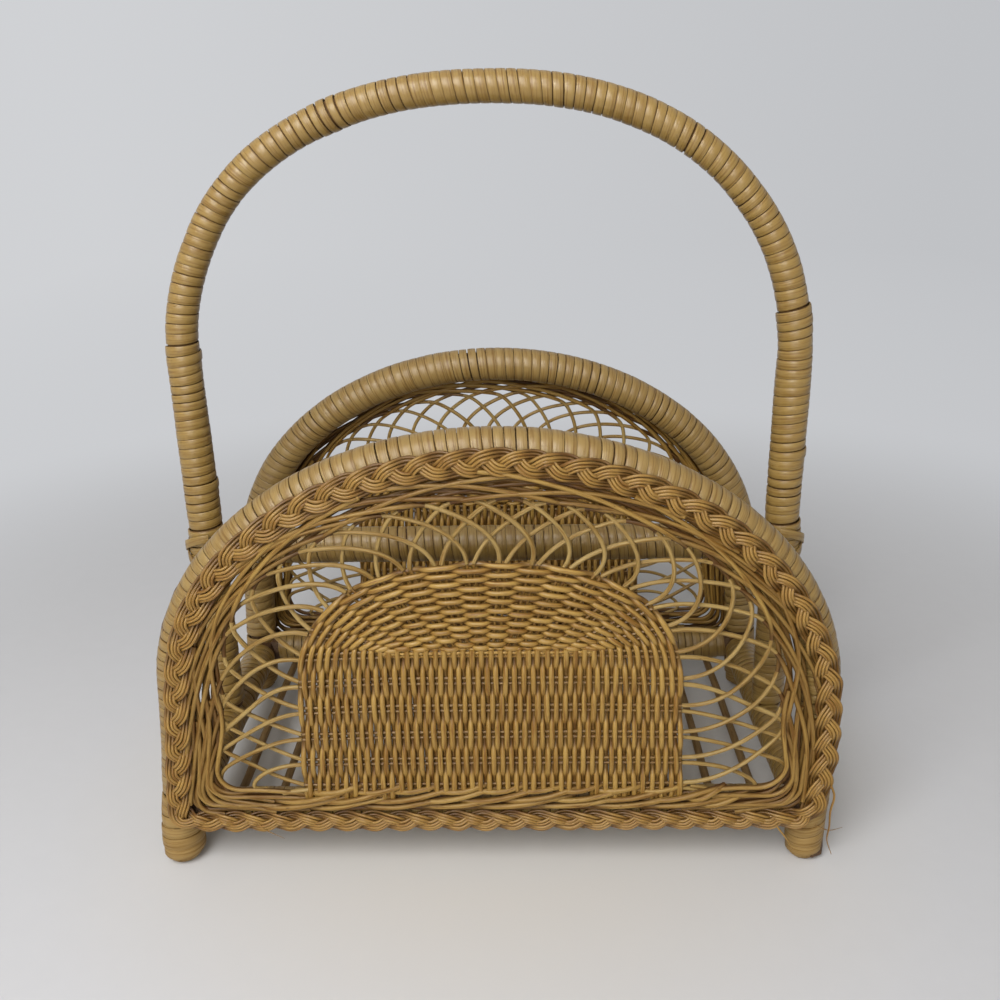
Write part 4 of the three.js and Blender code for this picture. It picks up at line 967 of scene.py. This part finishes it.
# Slow drifts of a slat, as the distance between bends and the size of a bend
SLAT_DRIFT, SLAT_LIFT, SLAT_GIRTH = (0.05, 0.0005), (0.06, 0.0002), (0.03, 0.04)


def slat_rod(number, reed):
    rng = named_rng(f"slat{number}")
    low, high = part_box(f"slat_{number}")
    middle = (np.array(low) + np.array(high)) / 2
    y = np.linspace(low.y, high.y, 40)
    path = np.stack([middle[0] + wander(rng, y, *SLAT_DRIFT), y, middle[2] + wander(rng, y, *SLAT_LIFT)], -1)
    weave = Weave()
    weave.reed(path, reed.slat_radius * (1 + wander(rng, y, *SLAT_GIRTH)), facing=UP, sides=12)
    weave.finish(f"slat_{number}_rod", "slat", "reed", f"slat_{number}")


# Finishes

class Graph:
    """A node tree that is written by calls."""

    def __init__(self, tree):
        self.tree = tree

    def node(self, kind, inputs=(), **settings):
        node = self.tree.nodes.new(kind)
        for key, value in settings.items():
            setattr(node, key, value)
        for key, value in dict(inputs).items():
            self.put(value, node.inputs[key])
        return node

    def put(self, value, socket):
        if isinstance(value, bpy.types.NodeSocket):
            self.tree.links.new(value, socket)
        else:
            socket.default_value = value

    def math(self, operation, a, b=0.0):
        return self.node("ShaderNodeMath", {0: a, 1: b}, operation=operation).outputs[0]

    def spread(self, value, low, high, to_low=0.0, to_high=1.0):
        inputs = {"Value": value, "From Min": low, "From Max": high, "To Min": to_low, "To Max": to_high}
        return self.node("ShaderNodeMapRange", inputs).outputs["Result"]

    def mix(self, factor, a, b):
        node = self.node("ShaderNodeMix", data_type="RGBA")
        for index, value in ((0, factor), (6, a), (7, b)):
            self.put(value, node.inputs[index])
        return node.outputs[2]

    def noise(self, vector, scale, detail=2.0, rough=0.5):
        inputs = {"Vector": vector, "Scale": scale, "Detail": detail, "Roughness": rough}
        return self.node("ShaderNodeTexNoise", inputs).outputs["Fac"]

    def vector(self, x=0.0, y=0.0, z=0.0):
        return self.node("ShaderNodeCombineXYZ", {0: x, 1: y, 2: z}).outputs[0]

    def parts(self, vector):
        return self.node("ShaderNodeSeparateXYZ", {0: vector}).outputs

    def place(self):
        return self.node("ShaderNodeTexCoord").outputs["Object"]

    def use(self, group, **inputs):
        """Places an effect with its own values."""
        return self.node("ShaderNodeGroup", inputs, node_tree=group).outputs


def new_material(name):
    material = bpy.data.materials.new(name)
    material.use_nodes = True
    nodes = material.node_tree.nodes
    return material, Graph(material.node_tree), nodes["Principled BSDF"], nodes["Material Output"]


def effect(name, inputs, outputs, build):
    """A node group with named inputs and outputs, made once."""
    if name in bpy.data.node_groups:
        return bpy.data.node_groups[name]
    tree = bpy.data.node_groups.new(name, "ShaderNodeTree")
    for label, default in inputs:
        kind = "NodeSocketColor" if isinstance(default, tuple) else "NodeSocketFloat"
        socket = tree.interface.new_socket(name=label, in_out="INPUT", socket_type=kind)
        socket.default_value = default
    for label in outputs:
        kind = "NodeSocketColor" if label == "Color" else "NodeSocketFloat"
        tree.interface.new_socket(name=label, in_out="OUTPUT", socket_type=kind)
    graph = Graph(tree)
    start, end = graph.node("NodeGroupInput"), graph.node("NodeGroupOutput")
    for label, value in build(graph, start.outputs).items():
        graph.put(value, end.inputs[label])
    return tree


def strand_place():
    """Where a point lies on its strand: centimetres along it, -1 to 1 across it, and the strand's number."""
    def build(graph, _):
        place = graph.node("ShaderNodeUVMap", uv_map=STRAND_MAP).outputs[0]
        parts = graph.parts(place)
        row = graph.math("DIVIDE", parts[1], 10.0)
        number = graph.math("FLOOR", row)
        across = graph.math("MULTIPLY", graph.math("SUBTRACT", graph.math("FRACT", row), 0.5), 2.5)
        shade = graph.node("ShaderNodeTexWhiteNoise", {"W": number}, noise_dimensions="1D").outputs["Value"]
        return {"Along": parts[0], "Across": across, "Strand": number, "Shade": shade}
    return effect("strand_place", [], ["Along", "Across", "Strand", "Shade"], build)


def fibre_streaks():
    """Fine lines along a strand, and slower clouds of tone."""
    inputs = [("Lines", 14.0), ("Stretch", 0.35), ("Clouds", 0.35)]

    def build(graph, given):
        spot = graph.use(strand_place())
        along = graph.math("MULTIPLY", spot["Along"], given["Stretch"])
        across = graph.math("MULTIPLY", spot["Across"], given["Lines"])
        apart = graph.math("MULTIPLY", spot["Strand"], 7.31)
        lines = graph.noise(graph.vector(along, across, apart), 1.0, 3.0, 0.65)
        slow = graph.math("MULTIPLY", spot["Along"], given["Clouds"])
        clouds = graph.noise(graph.vector(slow, apart, 0.0), 1.0, 2.0, 0.5)
        return {"Lines": graph.spread(lines, 0.32, 0.68), "Clouds": graph.spread(clouds, 0.3, 0.7)}
    return effect("fibre_streaks", inputs, ["Lines", "Clouds"], build)


def edge_grime():
    """Painted shade at a strand's edges, where strands meet and lie in each other's shade, broken into
    patches: Turn is 2 for a flat strip, 1 for a round reed.
    """
    def build(graph, given):
        spot = graph.use(strand_place())
        edge = graph.math("ABSOLUTE", spot["Across"])
        edge = graph.math("MINIMUM", edge, graph.math("SUBTRACT", given["Turn"], edge))
        place = graph.place()
        patches = graph.spread(graph.noise(place, 45.0, 3.0, 0.6), 0.4, 0.62, 0.45, 1.0)
        mask = graph.math("MULTIPLY", graph.spread(edge, given["Start"], given["End"]), patches)
        return {"Mask": mask}
    return effect("edge_grime", [("Start", 0.72), ("End", 1.0), ("Turn", 2.0)], ["Mask"], build)


def dip_varnish():
    """Painted shade in the dips of a woven panel, near the plane that its reeds cross, where they pass under
    each other.
    """
    def build(graph, given):
        place = graph.place()
        depth = graph.parts(place)[1]
        away = graph.math("ABSOLUTE", graph.math("SUBTRACT", graph.math("ABSOLUTE", depth), given["Plane"]))
        return {"Mask": graph.spread(away, given["Clear"], given["Full"])}
    return effect("dip_varnish", [("Plane", 0.11), ("Clear", 0.0026), ("Full", 0.0006)], ["Mask"], build)


def dark_flecks():
    """Small dark scars and pores that run with the fibres."""
    def build(graph, given):
        spot = graph.use(strand_place())
        along = graph.math("MULTIPLY", spot["Along"], 2.2)
        across = graph.math("MULTIPLY", spot["Across"], 5.0)
        apart = graph.math("MULTIPLY", spot["Strand"], 3.7)
        pores = graph.noise(graph.vector(along, across, apart), 1.0, 2.0, 0.5)
        low = graph.math("SUBTRACT", 0.74, graph.math("MULTIPLY", given["Amount"], 0.1))
        return {"Mask": graph.spread(pores, low, graph.math("ADD", low, 0.05))}
    return effect("dark_flecks", [("Amount", 0.5)], ["Mask"], build)


def strand_finish(
    name, colour, lines, stretch, clouds, contrast, gloss, edge, grime, flecks, coat=0.0, shine=0.3,
    dip_shade=None,
):
    """A finish for cane or reed: streaked, toned strand by strand, with painted shade at its edges, satin.

    Edge says where across the strand the painted edge shade starts and is full. Dips says how far off the
    weave's plane the painted shade in the dips ends, where it is full, and how much of it shows.
    """
    if name in bpy.data.materials:
        return bpy.data.materials[name]
    material, graph, shader, _ = new_material(name)
    streaks = graph.use(fibre_streaks(), Lines=lines, Stretch=stretch, Clouds=clouds)
    spot = graph.use(strand_place())
    edge_shade_mask = graph.use(edge_grime(), Start=edge[0], End=edge[1], Turn=2.0 if edge[1] == 1.0 else 1.0)["Mask"]
    pores = graph.use(dark_flecks(), Amount=flecks)["Mask"]
    r, g, b = colour
    pale = (r * 1.36, g * 1.5, b * 1.75, 1)
    deep = (r * 0.6, g * 0.45, b * 0.12, 1)
    # Near-black brown: painted shade at strand edges and in weave dips, and the real colour of dark scars and
    # pores
    shade_and_scar_colour = (r * 0.2, g * 0.1, b * 0.03, 1)
    tone = graph.math("MULTIPLY", graph.math("ADD", streaks["Clouds"], spot["Shade"]), 0.5)
    body = graph.mix(graph.spread(tone, 0.0, 1.0, 0.5 - contrast, 0.5 + contrast), deep, pale)
    fibres = graph.mix(graph.math("MULTIPLY", streaks["Lines"], 0.3 + contrast * 0.5), body, pale)
    dark_lines = graph.spread(streaks["Lines"], 0.48, 0.04, 0.0, min(1.0, contrast * 2.0))
    fibres = graph.mix(dark_lines, fibres, deep)
    # Painted shade darkens the strand's edges, where it meets its neighbours
    with_painted_shade = graph.mix(graph.math("MULTIPLY", edge_shade_mask, grime), fibres, shade_and_scar_colour)
    # Painted shade in the dips, where reeds pass under each other near the weave's plane
    if dip_shade:
        low = graph.use(dip_varnish(), Plane=WEAVE_PLANE, Clear=dip_shade[0], Full=dip_shade[1])["Mask"]
        with_painted_shade = graph.mix(graph.math("MULTIPLY", low, dip_shade[2]), with_painted_shade, shade_and_scar_colour)
    final = graph.mix(graph.math("MULTIPLY", pores, 0.65), with_painted_shade, shade_and_scar_colour)
    graph.put(final, shader.inputs["Base Color"])
    rough = graph.spread(streaks["Lines"], 0.0, 1.0, gloss + 0.12, gloss - 0.05)
    graph.put(graph.math("ADD", rough, graph.math("MULTIPLY", edge_shade_mask, 0.35)), shader.inputs["Roughness"])
    height = graph.math("SUBTRACT", streaks["Lines"], graph.math("MULTIPLY", pores, 1.5))
    bump = graph.node("ShaderNodeBump", {"Strength": 0.55, "Distance": 0.00022, "Height": height})
    graph.put(bump.outputs[0], shader.inputs["Normal"])
    if coat:
        graph.put(graph.spread(edge_shade_mask, 0.0, 1.0, coat, 0.0), shader.inputs["Coat Weight"])
        shader.inputs["Coat Roughness"].default_value = 0.35
    shader.inputs["Specular IOR Level"].default_value = shine
    return material


CANE = {"lines": 2.8, "stretch": 0.28, "clouds": 0.13, "edge": (0.88, 1.0), "flecks": 0.3}
REED = {"lines": 3.0, "stretch": 0.5, "clouds": 0.35, "edge": (0.3, 0.56), "grime": 1.0, "flecks": 0.5}
# Each finish, by the setting that holds its colour: the material's name and what sets it apart
STRAND_FINISHES = {
    "cane": ("split_cane", CANE, dict(contrast=0.36, gloss=0.34, grime=0.6, coat=0.2, shine=0.5)),
    "hoop_cane": ("hoop_cane", CANE, dict(contrast=0.4, gloss=0.38, grime=0.55, coat=0.14, shine=0.45)),
    "foot_cane": ("foot_cane", CANE, dict(
        lines=3.0, stretch=0.3, contrast=0.34, gloss=0.5, grime=0.45, flecks=0.4, coat=0.03)),
    "plait": ("plaited_reed", REED, dict(
        contrast=0.42, gloss=0.4, coat=0.06, shine=0.4, dip_shade=(0.0036, 0.0012, 0.6))),
    "weaver": ("woven_reed", REED, dict(
        contrast=0.44, gloss=0.4, flecks=0.4, coat=0.06, shine=0.4, dip_shade=(0.0020, 0.0002, 0.6))),
    "lattice": ("lattice_reed", REED, dict(
        contrast=0.36, gloss=0.48, edge=(0.4, 0.7), grime=0.3, flecks=0.35, coat=0.04)),
    "border": ("border_reed", REED, dict(
        contrast=0.44, gloss=0.45, edge=(0.26, 0.54), coat=0.04, dip_shade=(0.0029, 0.0002, 0.85))),
    "slat": ("slat_rod", REED, dict(
        lines=5.0, stretch=0.4, clouds=0.3, contrast=0.3, gloss=0.55, edge=(0.5, 0.9), grime=0.3, flecks=0.6,
        coat=0.02)),
    # The handle's pole shows only in the gaps between turns of cane; its dark colour paints shade there
    "pole": ("handle_pole", REED, dict(
        lines=8.0, stretch=0.3, clouds=0.3, contrast=0.3, gloss=0.6, edge=(0.5, 1.0), grime=0.2, flecks=0.6)),
}


def finish_for(kind):
    name, base, own = STRAND_FINISHES[kind]
    return strand_finish(name, tuple(getattr(bpy.context.scene.basket_finish, kind)), **{**base, **own})


def bare_pole_finish():
    """Rattan pole without its skin: fine dark grain over slow clouds of tone."""
    material, graph, shader, _ = new_material("bare_pole")
    place = graph.place()
    # The pole colour is dark as painted shade: the bare poles show mostly in the gaps between turns of cane
    r, g, b = bpy.context.scene.basket_finish.pole
    grain = graph.noise(place, 900.0, 3.0, 0.6)
    clouds = graph.noise(place, 40.0, 2.0, 0.5)
    deep, pale = (r * 0.7, g * 0.62, b * 0.5, 1), (r * 1.15, g * 1.15, b * 1.2, 1)
    body = graph.mix(graph.spread(clouds, 0.3, 0.7), deep, pale)
    final = graph.mix(graph.spread(grain, 0.45, 0.62, 0.0, 0.6), body, (r * 0.35, g * 0.27, b * 0.2, 1))
    graph.put(final, shader.inputs["Base Color"])
    graph.put(graph.spread(grain, 0.3, 0.7, 0.55, 0.75), shader.inputs["Roughness"])
    bump = graph.node("ShaderNodeBump", {"Strength": 0.5, "Distance": 0.0003, "Height": grain})
    graph.put(bump.outputs[0], shader.inputs["Normal"])
    return material


def nail_finish():
    """Drawn wire, dulled and spotted with rust."""
    material, graph, shader, _ = new_material("nail_steel")
    place = graph.place()
    rust = graph.spread(graph.noise(place, 500.0, 4.0, 0.6), 0.48, 0.62)
    r, g, b = bpy.context.scene.basket_finish.nail
    graph.put(graph.mix(rust, (r, g, b, 1), (0.16, 0.07, 0.03, 1)), shader.inputs["Base Color"])
    graph.put(graph.spread(rust, 0.0, 1.0, 0.35, 0.85), shader.inputs["Roughness"])
    graph.put(graph.spread(rust, 0.0, 1.0, 1.0, 0.1), shader.inputs["Metallic"])
    return material


# Stage

def side_shade(graph, stage):
    """The surroundings' colour, a little darker towards the right."""
    share = graph.spread(graph.parts(graph.place())[0], -1.5, 1.5)
    return graph.mix(share, (*stage.left_colour, 1), (*stage.right_colour, 1))


def looked_at(graph):
    """1 where a surface is seen, straight, in a gloss or through glass, and 0 where it only lights others."""
    rays = graph.node("ShaderNodeLightPath").outputs
    seen = graph.math("MAXIMUM", rays["Is Camera Ray"], rays["Is Glossy Ray"])
    return graph.math("MAXIMUM", seen, rays["Is Transmission Ray"])


def stage_mesh(name, points, faces, material):
    mesh = bpy.data.meshes.new(name)
    mesh.from_pydata(points, [], faces)
    mesh.materials.append(material)
    piece = bpy.data.objects.new(name, mesh)
    bpy.context.scene.collection.objects.link(piece)


def around(sides):
    """Each corner of a round with the one after it."""
    return [(k, (k + 1) % sides) for k in range(sides)]


def pale_floor(stage):
    """A round floor that takes the basket's shadow, has painted warm bounce light under the basket, and fades
    into the pale surroundings.
    """
    rings, sides = 40, 96
    radius = np.linspace(0, 1, rings + 1)[1:] ** 1.6 * stage.floor_radius
    angle = np.linspace(0, 2 * np.pi, sides, endpoint=False)
    points = [(0, 0, 0)] + [(r * math.cos(a), r * math.sin(a), 0) for r in radius for a in angle]
    faces = [(0, 1 + k, 1 + m) for k, m in around(sides)]
    for i in range(rings - 1):
        here, there = 1 + i * sides, 1 + (i + 1) * sides
        faces += [(here + k, there + k, there + m, here + m) for k, m in around(sides)]
    material, graph, shader, output = new_material("pale_floor")
    place, shade = graph.place(), side_shade(graph, stage)
    grain = graph.noise(place, 60.0, 3.0, 0.6)
    r, g, b = stage.floor_colour
    paper = graph.mix(graph.spread(grain, 0.3, 0.7), (r * 0.985, g * 0.985, b * 0.985, 1), (r, g, b, 1))
    away = graph.node("ShaderNodeVectorMath", {0: place}, operation="LENGTH").outputs["Value"]
    # Painted light: a warm tint, full within 0.14 of the middle and gone by 0.3, for light bounced off the
    # basket
    bounce_tinted_floor = graph.mix(graph.spread(away, 0.3, 0.14), paper, (r, g * 0.97, b * 0.9, 1))
    graph.put(bounce_tinted_floor, shader.inputs["Base Color"])
    shader.inputs["Roughness"].default_value = 0.75
    shader.inputs["Specular IOR Level"].default_value = 0.15
    glow = graph.node("ShaderNodeEmission", {"Color": shade})
    span = {"Value": away, "From Min": stage.fade_start, "From Max": stage.fade_end}
    fade = graph.node("ShaderNodeMapRange", span, interpolation_type="SMOOTHSTEP").outputs["Result"]
    faded = graph.math("MULTIPLY", fade, looked_at(graph))
    mixed = graph.node("ShaderNodeMixShader", {0: faded, 1: shader.outputs[0], 2: glow.outputs[0]})
    graph.put(mixed.outputs[0], output.inputs["Surface"])
    stage_mesh("floor", points, faces, material)


def backdrop(stage):
    """A round wall at the floor's edge, seen only by the camera, so that the lamps' light passes it."""
    sides = 96
    angle = np.linspace(0, 2 * np.pi, sides, endpoint=False)
    r = stage.floor_radius * 0.995
    points = [(r * math.cos(a), r * math.sin(a), z) for z in (-0.02, 1.4 * stage.floor_radius) for a in angle]
    faces = [(k, m, sides + m, sides + k) for k, m in around(sides)]
    material, graph, shader, output = new_material("backdrop")
    material.node_tree.nodes.remove(shader)
    glow = graph.node("ShaderNodeEmission", {"Color": side_shade(graph, stage)})
    clear = graph.node("ShaderNodeBsdfTransparent")
    mixed = graph.node("ShaderNodeMixShader", {0: looked_at(graph), 1: clear.outputs[0], 2: glow.outputs[0]})
    graph.put(mixed.outputs[0], output.inputs["Surface"])
    stage_mesh("backdrop", points, faces, material)


def surroundings(stage):
    world = bpy.data.worlds.new("surroundings")
    bpy.context.scene.world = world
    world.use_nodes = True
    graph = Graph(world.node_tree)
    nodes = world.node_tree.nodes
    fill = nodes["Background"]
    fill.inputs["Color"].default_value = (*stage.fill_colour, 1)
    fill.inputs["Strength"].default_value = stage.fill
    pale = graph.node("ShaderNodeBackground", {"Color": (*stage.left_colour, 1), "Strength": 1.0})
    mixed = graph.node("ShaderNodeMixShader", {0: looked_at(graph), 1: fill.outputs[0], 2: pale.outputs[0]})
    graph.put(mixed.outputs[0], nodes["World Output"].inputs["Surface"])


# Each lamp's place and size; its power is a setting
LAMPS = {
    "key": ((-0.45, -1.05, 1.25), 1.0),
    "front": ((-0.35, -2.4, 0.9), 1.3),
    "top": ((-0.3, -0.75, 1.75), 1.2),
}
LAMP_AIM = (0, 0, 0.1)


def lamp(name, place, size, power):
    light = bpy.data.lights.new(name, "AREA")
    light.shape = "DISK"
    light.size = size
    light.energy = power
    fixture = bpy.data.objects.new(name, light)
    bpy.context.scene.collection.objects.link(fixture)
    fixture.matrix_world = Matrix.LocRotScale(
        Vector(place), (Vector(LAMP_AIM) - Vector(place)).to_track_quat("-Z", "Y"), None
    )


CAMERA_PLACE = (0.0196, -0.59528, 0.41967)
CAMERA_LENS = 35.42  # millimetres, on a sensor 36 wide
CAMERA_TURN = {"pitch": 0.3586, "yaw": -0.0241, "roll": -0.0207}


def photo_camera():
    """A camera where the photograph was taken from: low, close and a little turned."""
    pitch, yaw, roll = CAMERA_TURN.values()
    ahead = Vector((math.sin(yaw) * math.cos(pitch), math.cos(yaw) * math.cos(pitch), -math.sin(pitch)))
    level = ahead.cross(Vector((0, 0, 1))).normalized()
    upright = level.cross(ahead)
    right = math.cos(roll) * level + math.sin(roll) * upright
    top = -math.sin(roll) * level + math.cos(roll) * upright
    camera = bpy.data.cameras.new("photo_camera")
    camera.sensor_width = 36
    camera.lens = CAMERA_LENS
    camera.clip_start = 0.02
    holder = bpy.data.objects.new("photo_camera", camera)
    bpy.context.scene.collection.objects.link(holder)
    turn = Matrix((right, top, -ahead)).transposed().to_4x4()
    holder.matrix_world = Matrix.Translation(CAMERA_PLACE) @ turn
    bpy.context.scene.camera = holder


# Settings, operators and panel

def length(name, description, default, high=1.0):
    return FloatProperty(
        name=name, description=description, default=default, min=0, max=high, unit="LENGTH", precision=4)


def number(name, description, default, high, low=0.0, **kind):
    return FloatProperty(name=name, description=description, default=default, min=low, max=high, **kind)


def count(name, description, default, low, high):
    return IntProperty(name=name, description=description, default=default, min=low, max=high)


def power(name, description, default):
    return number(name, description, default, 500, unit="POWER")


def colour(name, description, default):
    return FloatVectorProperty(
        name=name, description=description, default=default, min=0, max=1, subtype="COLOR")


class BASKET_PG_cane(bpy.types.PropertyGroup):
    pitch: length("Pitch", "Distance from one turn of cane to the next", 0.006)
    thickness: length("Thickness", "Thickness of the split cane", 0.001)
    gap: length("Gap", "Usual gap between two turns", 0.00013)
    hoop_bore: length("Hoop bore", "Inner radius of the cane on the hoops", 0.0105)
    rail_bore: length("Rail bore", "Inner radius of the cane on the rails and the divider", 0.01075)
    handle_bore: length("Handle bore", "Inner radius of the cane on the handle's legs", 0.0098)
    handle_taper: length("Handle taper", "How much thinner the handle is at its top", 0.0014)


class BASKET_PG_reed(bpy.types.PropertyGroup):
    plait_radius: length("Plait reed", "Radius of one reed of the plait", 0.00093)
    plait_reeds: count("Reeds in a strand", "Reeds side by side in each strand of the plait", 4, 1, 6)
    plait_repeat: length("Plait repeat", "Length after which a strand of the plait repeats", 0.0495)
    plait_swing: number("Plait swing", "How far a strand swings, in widths", 0.29, 0.5, subtype="FACTOR")
    plait_hook: number("Plait hook", "How sharply a strand of the plait turns across it", 1.6, 6, 0.1)
    plait_depth: length("Plait depth", "How far a strand of the plait rises and dives", 0.0020)
    weaver_radius: length("Weaver", "Radius of the weavers in the medallion's block", 0.00164)
    arch_radius: length("Arched weaver", "Radius of the weavers that arch round the block", 0.0016)
    weave_swing: length("Weave swing", "How far a weaver passes before and behind the stakes", 0.0018)
    arch_rows: count("Arched rows", "Weavers that arch round the medallion's block", 20, 3, 40)
    upright_rows: count("Upright rows", "Weavers in the medallion's block, an even number", 44, 4, 80)
    stake_radius: length("Stake", "Radius of the reeds that the medallion is woven over", 0.00092)
    pair_spread: length("Pair spread", "Distance between the two reeds of a pair", 0.0035)
    lattice_radius: length("Lattice reed", "Radius of the open lattice's reeds", 0.00131)
    front_lean: number("Front lean", "How many pairs a front reed of the lattice leans across", 1.75, 4)
    back_lean: number("Back lean", "How many pairs a back reed of the lattice leans across", 1.35, 4)
    border_radius: length("Border reed", "Radius of the border's own reeds", 0.00142)
    border_lanes: number("Border lanes", "How many reeds lie side by side in the border", 4.4, 12, 1.0)
    slat_radius: length("Slat", "Radius of the bottom slats", 0.0027)


class BASKET_PG_finish(bpy.types.PropertyGroup):
    cane: colour("Cane", "Split cane on the handle, rails and divider", (0.262, 0.158, 0.040))
    hoop_cane: colour("Hoop cane", "Greyer cane on the hoops", (0.25, 0.154, 0.045))
    foot_cane: colour("Foot cane", "Cane on the feet", (0.285, 0.176, 0.056))
    plait: colour("Plait", "Reeds of the plait", (0.258, 0.138, 0.029))
    weaver: colour("Weavers", "Reeds of the medallion", (0.282, 0.157, 0.032))
    lattice: colour("Lattice", "Reeds of the open lattice", (0.268, 0.17, 0.052))
    border: colour("Border", "Reeds of the border", (0.245, 0.137, 0.029))
    slat: colour("Slats", "Bottom slats", (0.19, 0.113, 0.042))
    # Darker than bare rattan: the poles show mostly in the gaps between turns of cane, and this dark colour
    # paints shade there
    pole: colour("Poles", "Bare rattan pole", (0.1, 0.05, 0.016))
    nail: colour("Nails", "Nail steel", (0.5, 0.51, 0.52))


class BASKET_PG_stage(bpy.types.PropertyGroup):
    floor_radius: length("Floor radius", "Radius of the floor", 3.4, 20)
    fade_start: length("Fade start", "Distance at which the floor begins to fade", 0.32, 20)
    fade_end: length("Fade end", "Distance at which the floor has faded", 1.0, 20)
    floor_colour: colour("Floor", "Colour of the floor", (0.63, 0.632, 0.652))
    left_colour: colour("Left", "Colour of the surroundings at the left", (0.63, 0.64, 0.66))
    right_colour: colour("Right", "Colour of the surroundings at the right", (0.53, 0.54, 0.56))
    fill_colour: colour("Fill", "Colour of the soft light from all round", (1.0, 0.965, 0.9))
    fill: number("Fill strength", "Strength of the soft light from all round", 0.27, 3)
    key: power("Key power", "Power of the large lamp in front at the left", 21.0)
    front: power("Front power", "Power of the lamp far in front", 19.0)
    top: power("Top power", "Power of the lamp above", 2.0)


class BasketOperator:
    bl_options = {"REGISTER", "UNDO"}


class BASKET_OT_hoops(BasketOperator, bpy.types.Operator):
    """Wind the two hoops in cane"""
    bl_idname = "basket.hoops"
    bl_label = "Wind the hoops"

    def execute(self, context):
        for side, sign in (("front", -1), ("back", 1)):
            wind_hoop(side, sign, context.scene.basket_cane)
        return {"FINISHED"}


class BASKET_OT_rails(BasketOperator, bpy.types.Operator):
    """Wind the four rails and the divider bar in cane"""
    bl_idname = "basket.rails"
    bl_label = "Wind the rails and divider"

    def execute(self, context):
        cane = context.scene.basket_cane
        for side, facing in (("front", DOWN), ("back", DOWN), ("left", UP), ("right", UP)):
            wind_rail(f"{side}_rail_binding", f"{side}_rail_cane", facing, cane)
        wind_rail("divider_binding", "divider_cane", UP, cane)
        return {"FINISHED"}


class BASKET_OT_handle(BasketOperator, bpy.types.Operator):
    """Bend the handle's pole and wind it in five lengths of cane"""
    bl_idname = "basket.handle"
    bl_label = "Wind the handle"

    def execute(self, context):
        handle_pole(context.scene.basket_cane)
        wind_handle(context.scene.basket_cane)
        return {"FINISHED"}


class BASKET_OT_feet(BasketOperator, bpy.types.Operator):
    """Wind the four feet"""
    bl_idname = "basket.feet"
    bl_label = "Wind the feet"

    def execute(self, context):
        for side, y in (("front", -1), ("back", 1)):
            for hand, x in (("left", -1), ("right", 1)):
                wind_foot(f"{side}_{hand}", x, y, context.scene.basket_cane)
        return {"FINISHED"}


class BASKET_OT_lashings(BasketOperator, bpy.types.Operator):
    """Lash the divider bar to the handle's legs"""
    bl_idname = "basket.lashings"
    bl_label = "Lash the divider"

    def execute(self, context):
        for side, sign in (("left", -1), ("right", 1)):
            wind_lashing(side, sign, context.scene.basket_cane)
        return {"FINISHED"}


class BASKET_OT_panels(BasketOperator, bpy.types.Operator):
    """Plait and weave the two panels"""
    bl_idname = "basket.panels"
    bl_label = "Weave the panels"

    def execute(self, context):
        for side, turned in (("front", False), ("back", True)):
            for make in (plait_ring, lattice_and_border, medallion_weave):
                make(side, turned, context.scene.basket_reed)
        return {"FINISHED"}


class BASKET_OT_slats(BasketOperator, bpy.types.Operator):
    """Lay the bottom slats"""
    bl_idname = "basket.slats"
    bl_label = "Lay the slats"

    def execute(self, context):
        for number in range(1, 14):
            slat_rod(number, context.scene.basket_reed)
        return {"FINISHED"}


class BASKET_OT_poles(BasketOperator, bpy.types.Operator):
    """Finish the bare poles and the nails of the frame"""
    bl_idname = "basket.poles"
    bl_label = "Finish poles and nails"

    def execute(self, context):
        pole, nail = bare_pole_finish(), nail_finish()
        for name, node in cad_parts.items():
            if not node.hide_render:
                node.data.materials.clear()
                node.data.materials.append(nail if name.endswith("brad") else pole)
        return {"FINISHED"}


class BASKET_OT_stage(BasketOperator, bpy.types.Operator):
    """Set the pale floor, the lamps and the camera"""
    bl_idname = "basket.stage"
    bl_label = "Set the stage"

    def execute(self, context):
        stage = context.scene.basket_stage
        context.scene.view_settings.view_transform = "Standard"
        pale_floor(stage)
        backdrop(stage)
        surroundings(stage)
        for name, (place, size) in LAMPS.items():
            lamp(f"{name}_lamp", place, size, getattr(stage, name))
        photo_camera()
        return {"FINISHED"}


OPERATORS = (
    BASKET_OT_hoops, BASKET_OT_rails, BASKET_OT_handle, BASKET_OT_feet, BASKET_OT_lashings,
    BASKET_OT_panels, BASKET_OT_slats, BASKET_OT_poles, BASKET_OT_stage,
)
SETTINGS = (
    ("basket_cane", BASKET_PG_cane), ("basket_reed", BASKET_PG_reed),
    ("basket_finish", BASKET_PG_finish), ("basket_stage", BASKET_PG_stage),
)


class BASKET_PT_panel(bpy.types.Panel):
    """Settings and steps of the basket"""
    bl_idname = "BASKET_PT_panel"
    bl_label = "Cane magazine basket"
    bl_space_type = "VIEW_3D"
    bl_region_type = "UI"
    bl_category = "Basket"

    def draw(self, context):
        for name, settings in SETTINGS:
            box = self.layout.box()
            group = getattr(context.scene, name)
            for key in settings.__annotations__:
                box.prop(group, key)
        for operator in OPERATORS:
            self.layout.operator(operator.bl_idname)


def register():
    for name, settings in SETTINGS:
        bpy.utils.register_class(settings)
        setattr(bpy.types.Scene, name, PointerProperty(type=settings))
    for cls in (*OPERATORS, BASKET_PT_panel):
        bpy.utils.register_class(cls)


def unregister():
    for cls in reversed((*OPERATORS, BASKET_PT_panel)):
        bpy.utils.unregister_class(cls)
    for name, settings in reversed(SETTINGS):
        delattr(bpy.types.Scene, name)
        bpy.utils.unregister_class(settings)


def main():
    register()
    for step in ("hoops", "rails", "handle", "feet", "lashings", "panels", "slats", "poles", "stage"):
        getattr(bpy.ops.basket, step)()


if __name__ == "__main__":
    main()
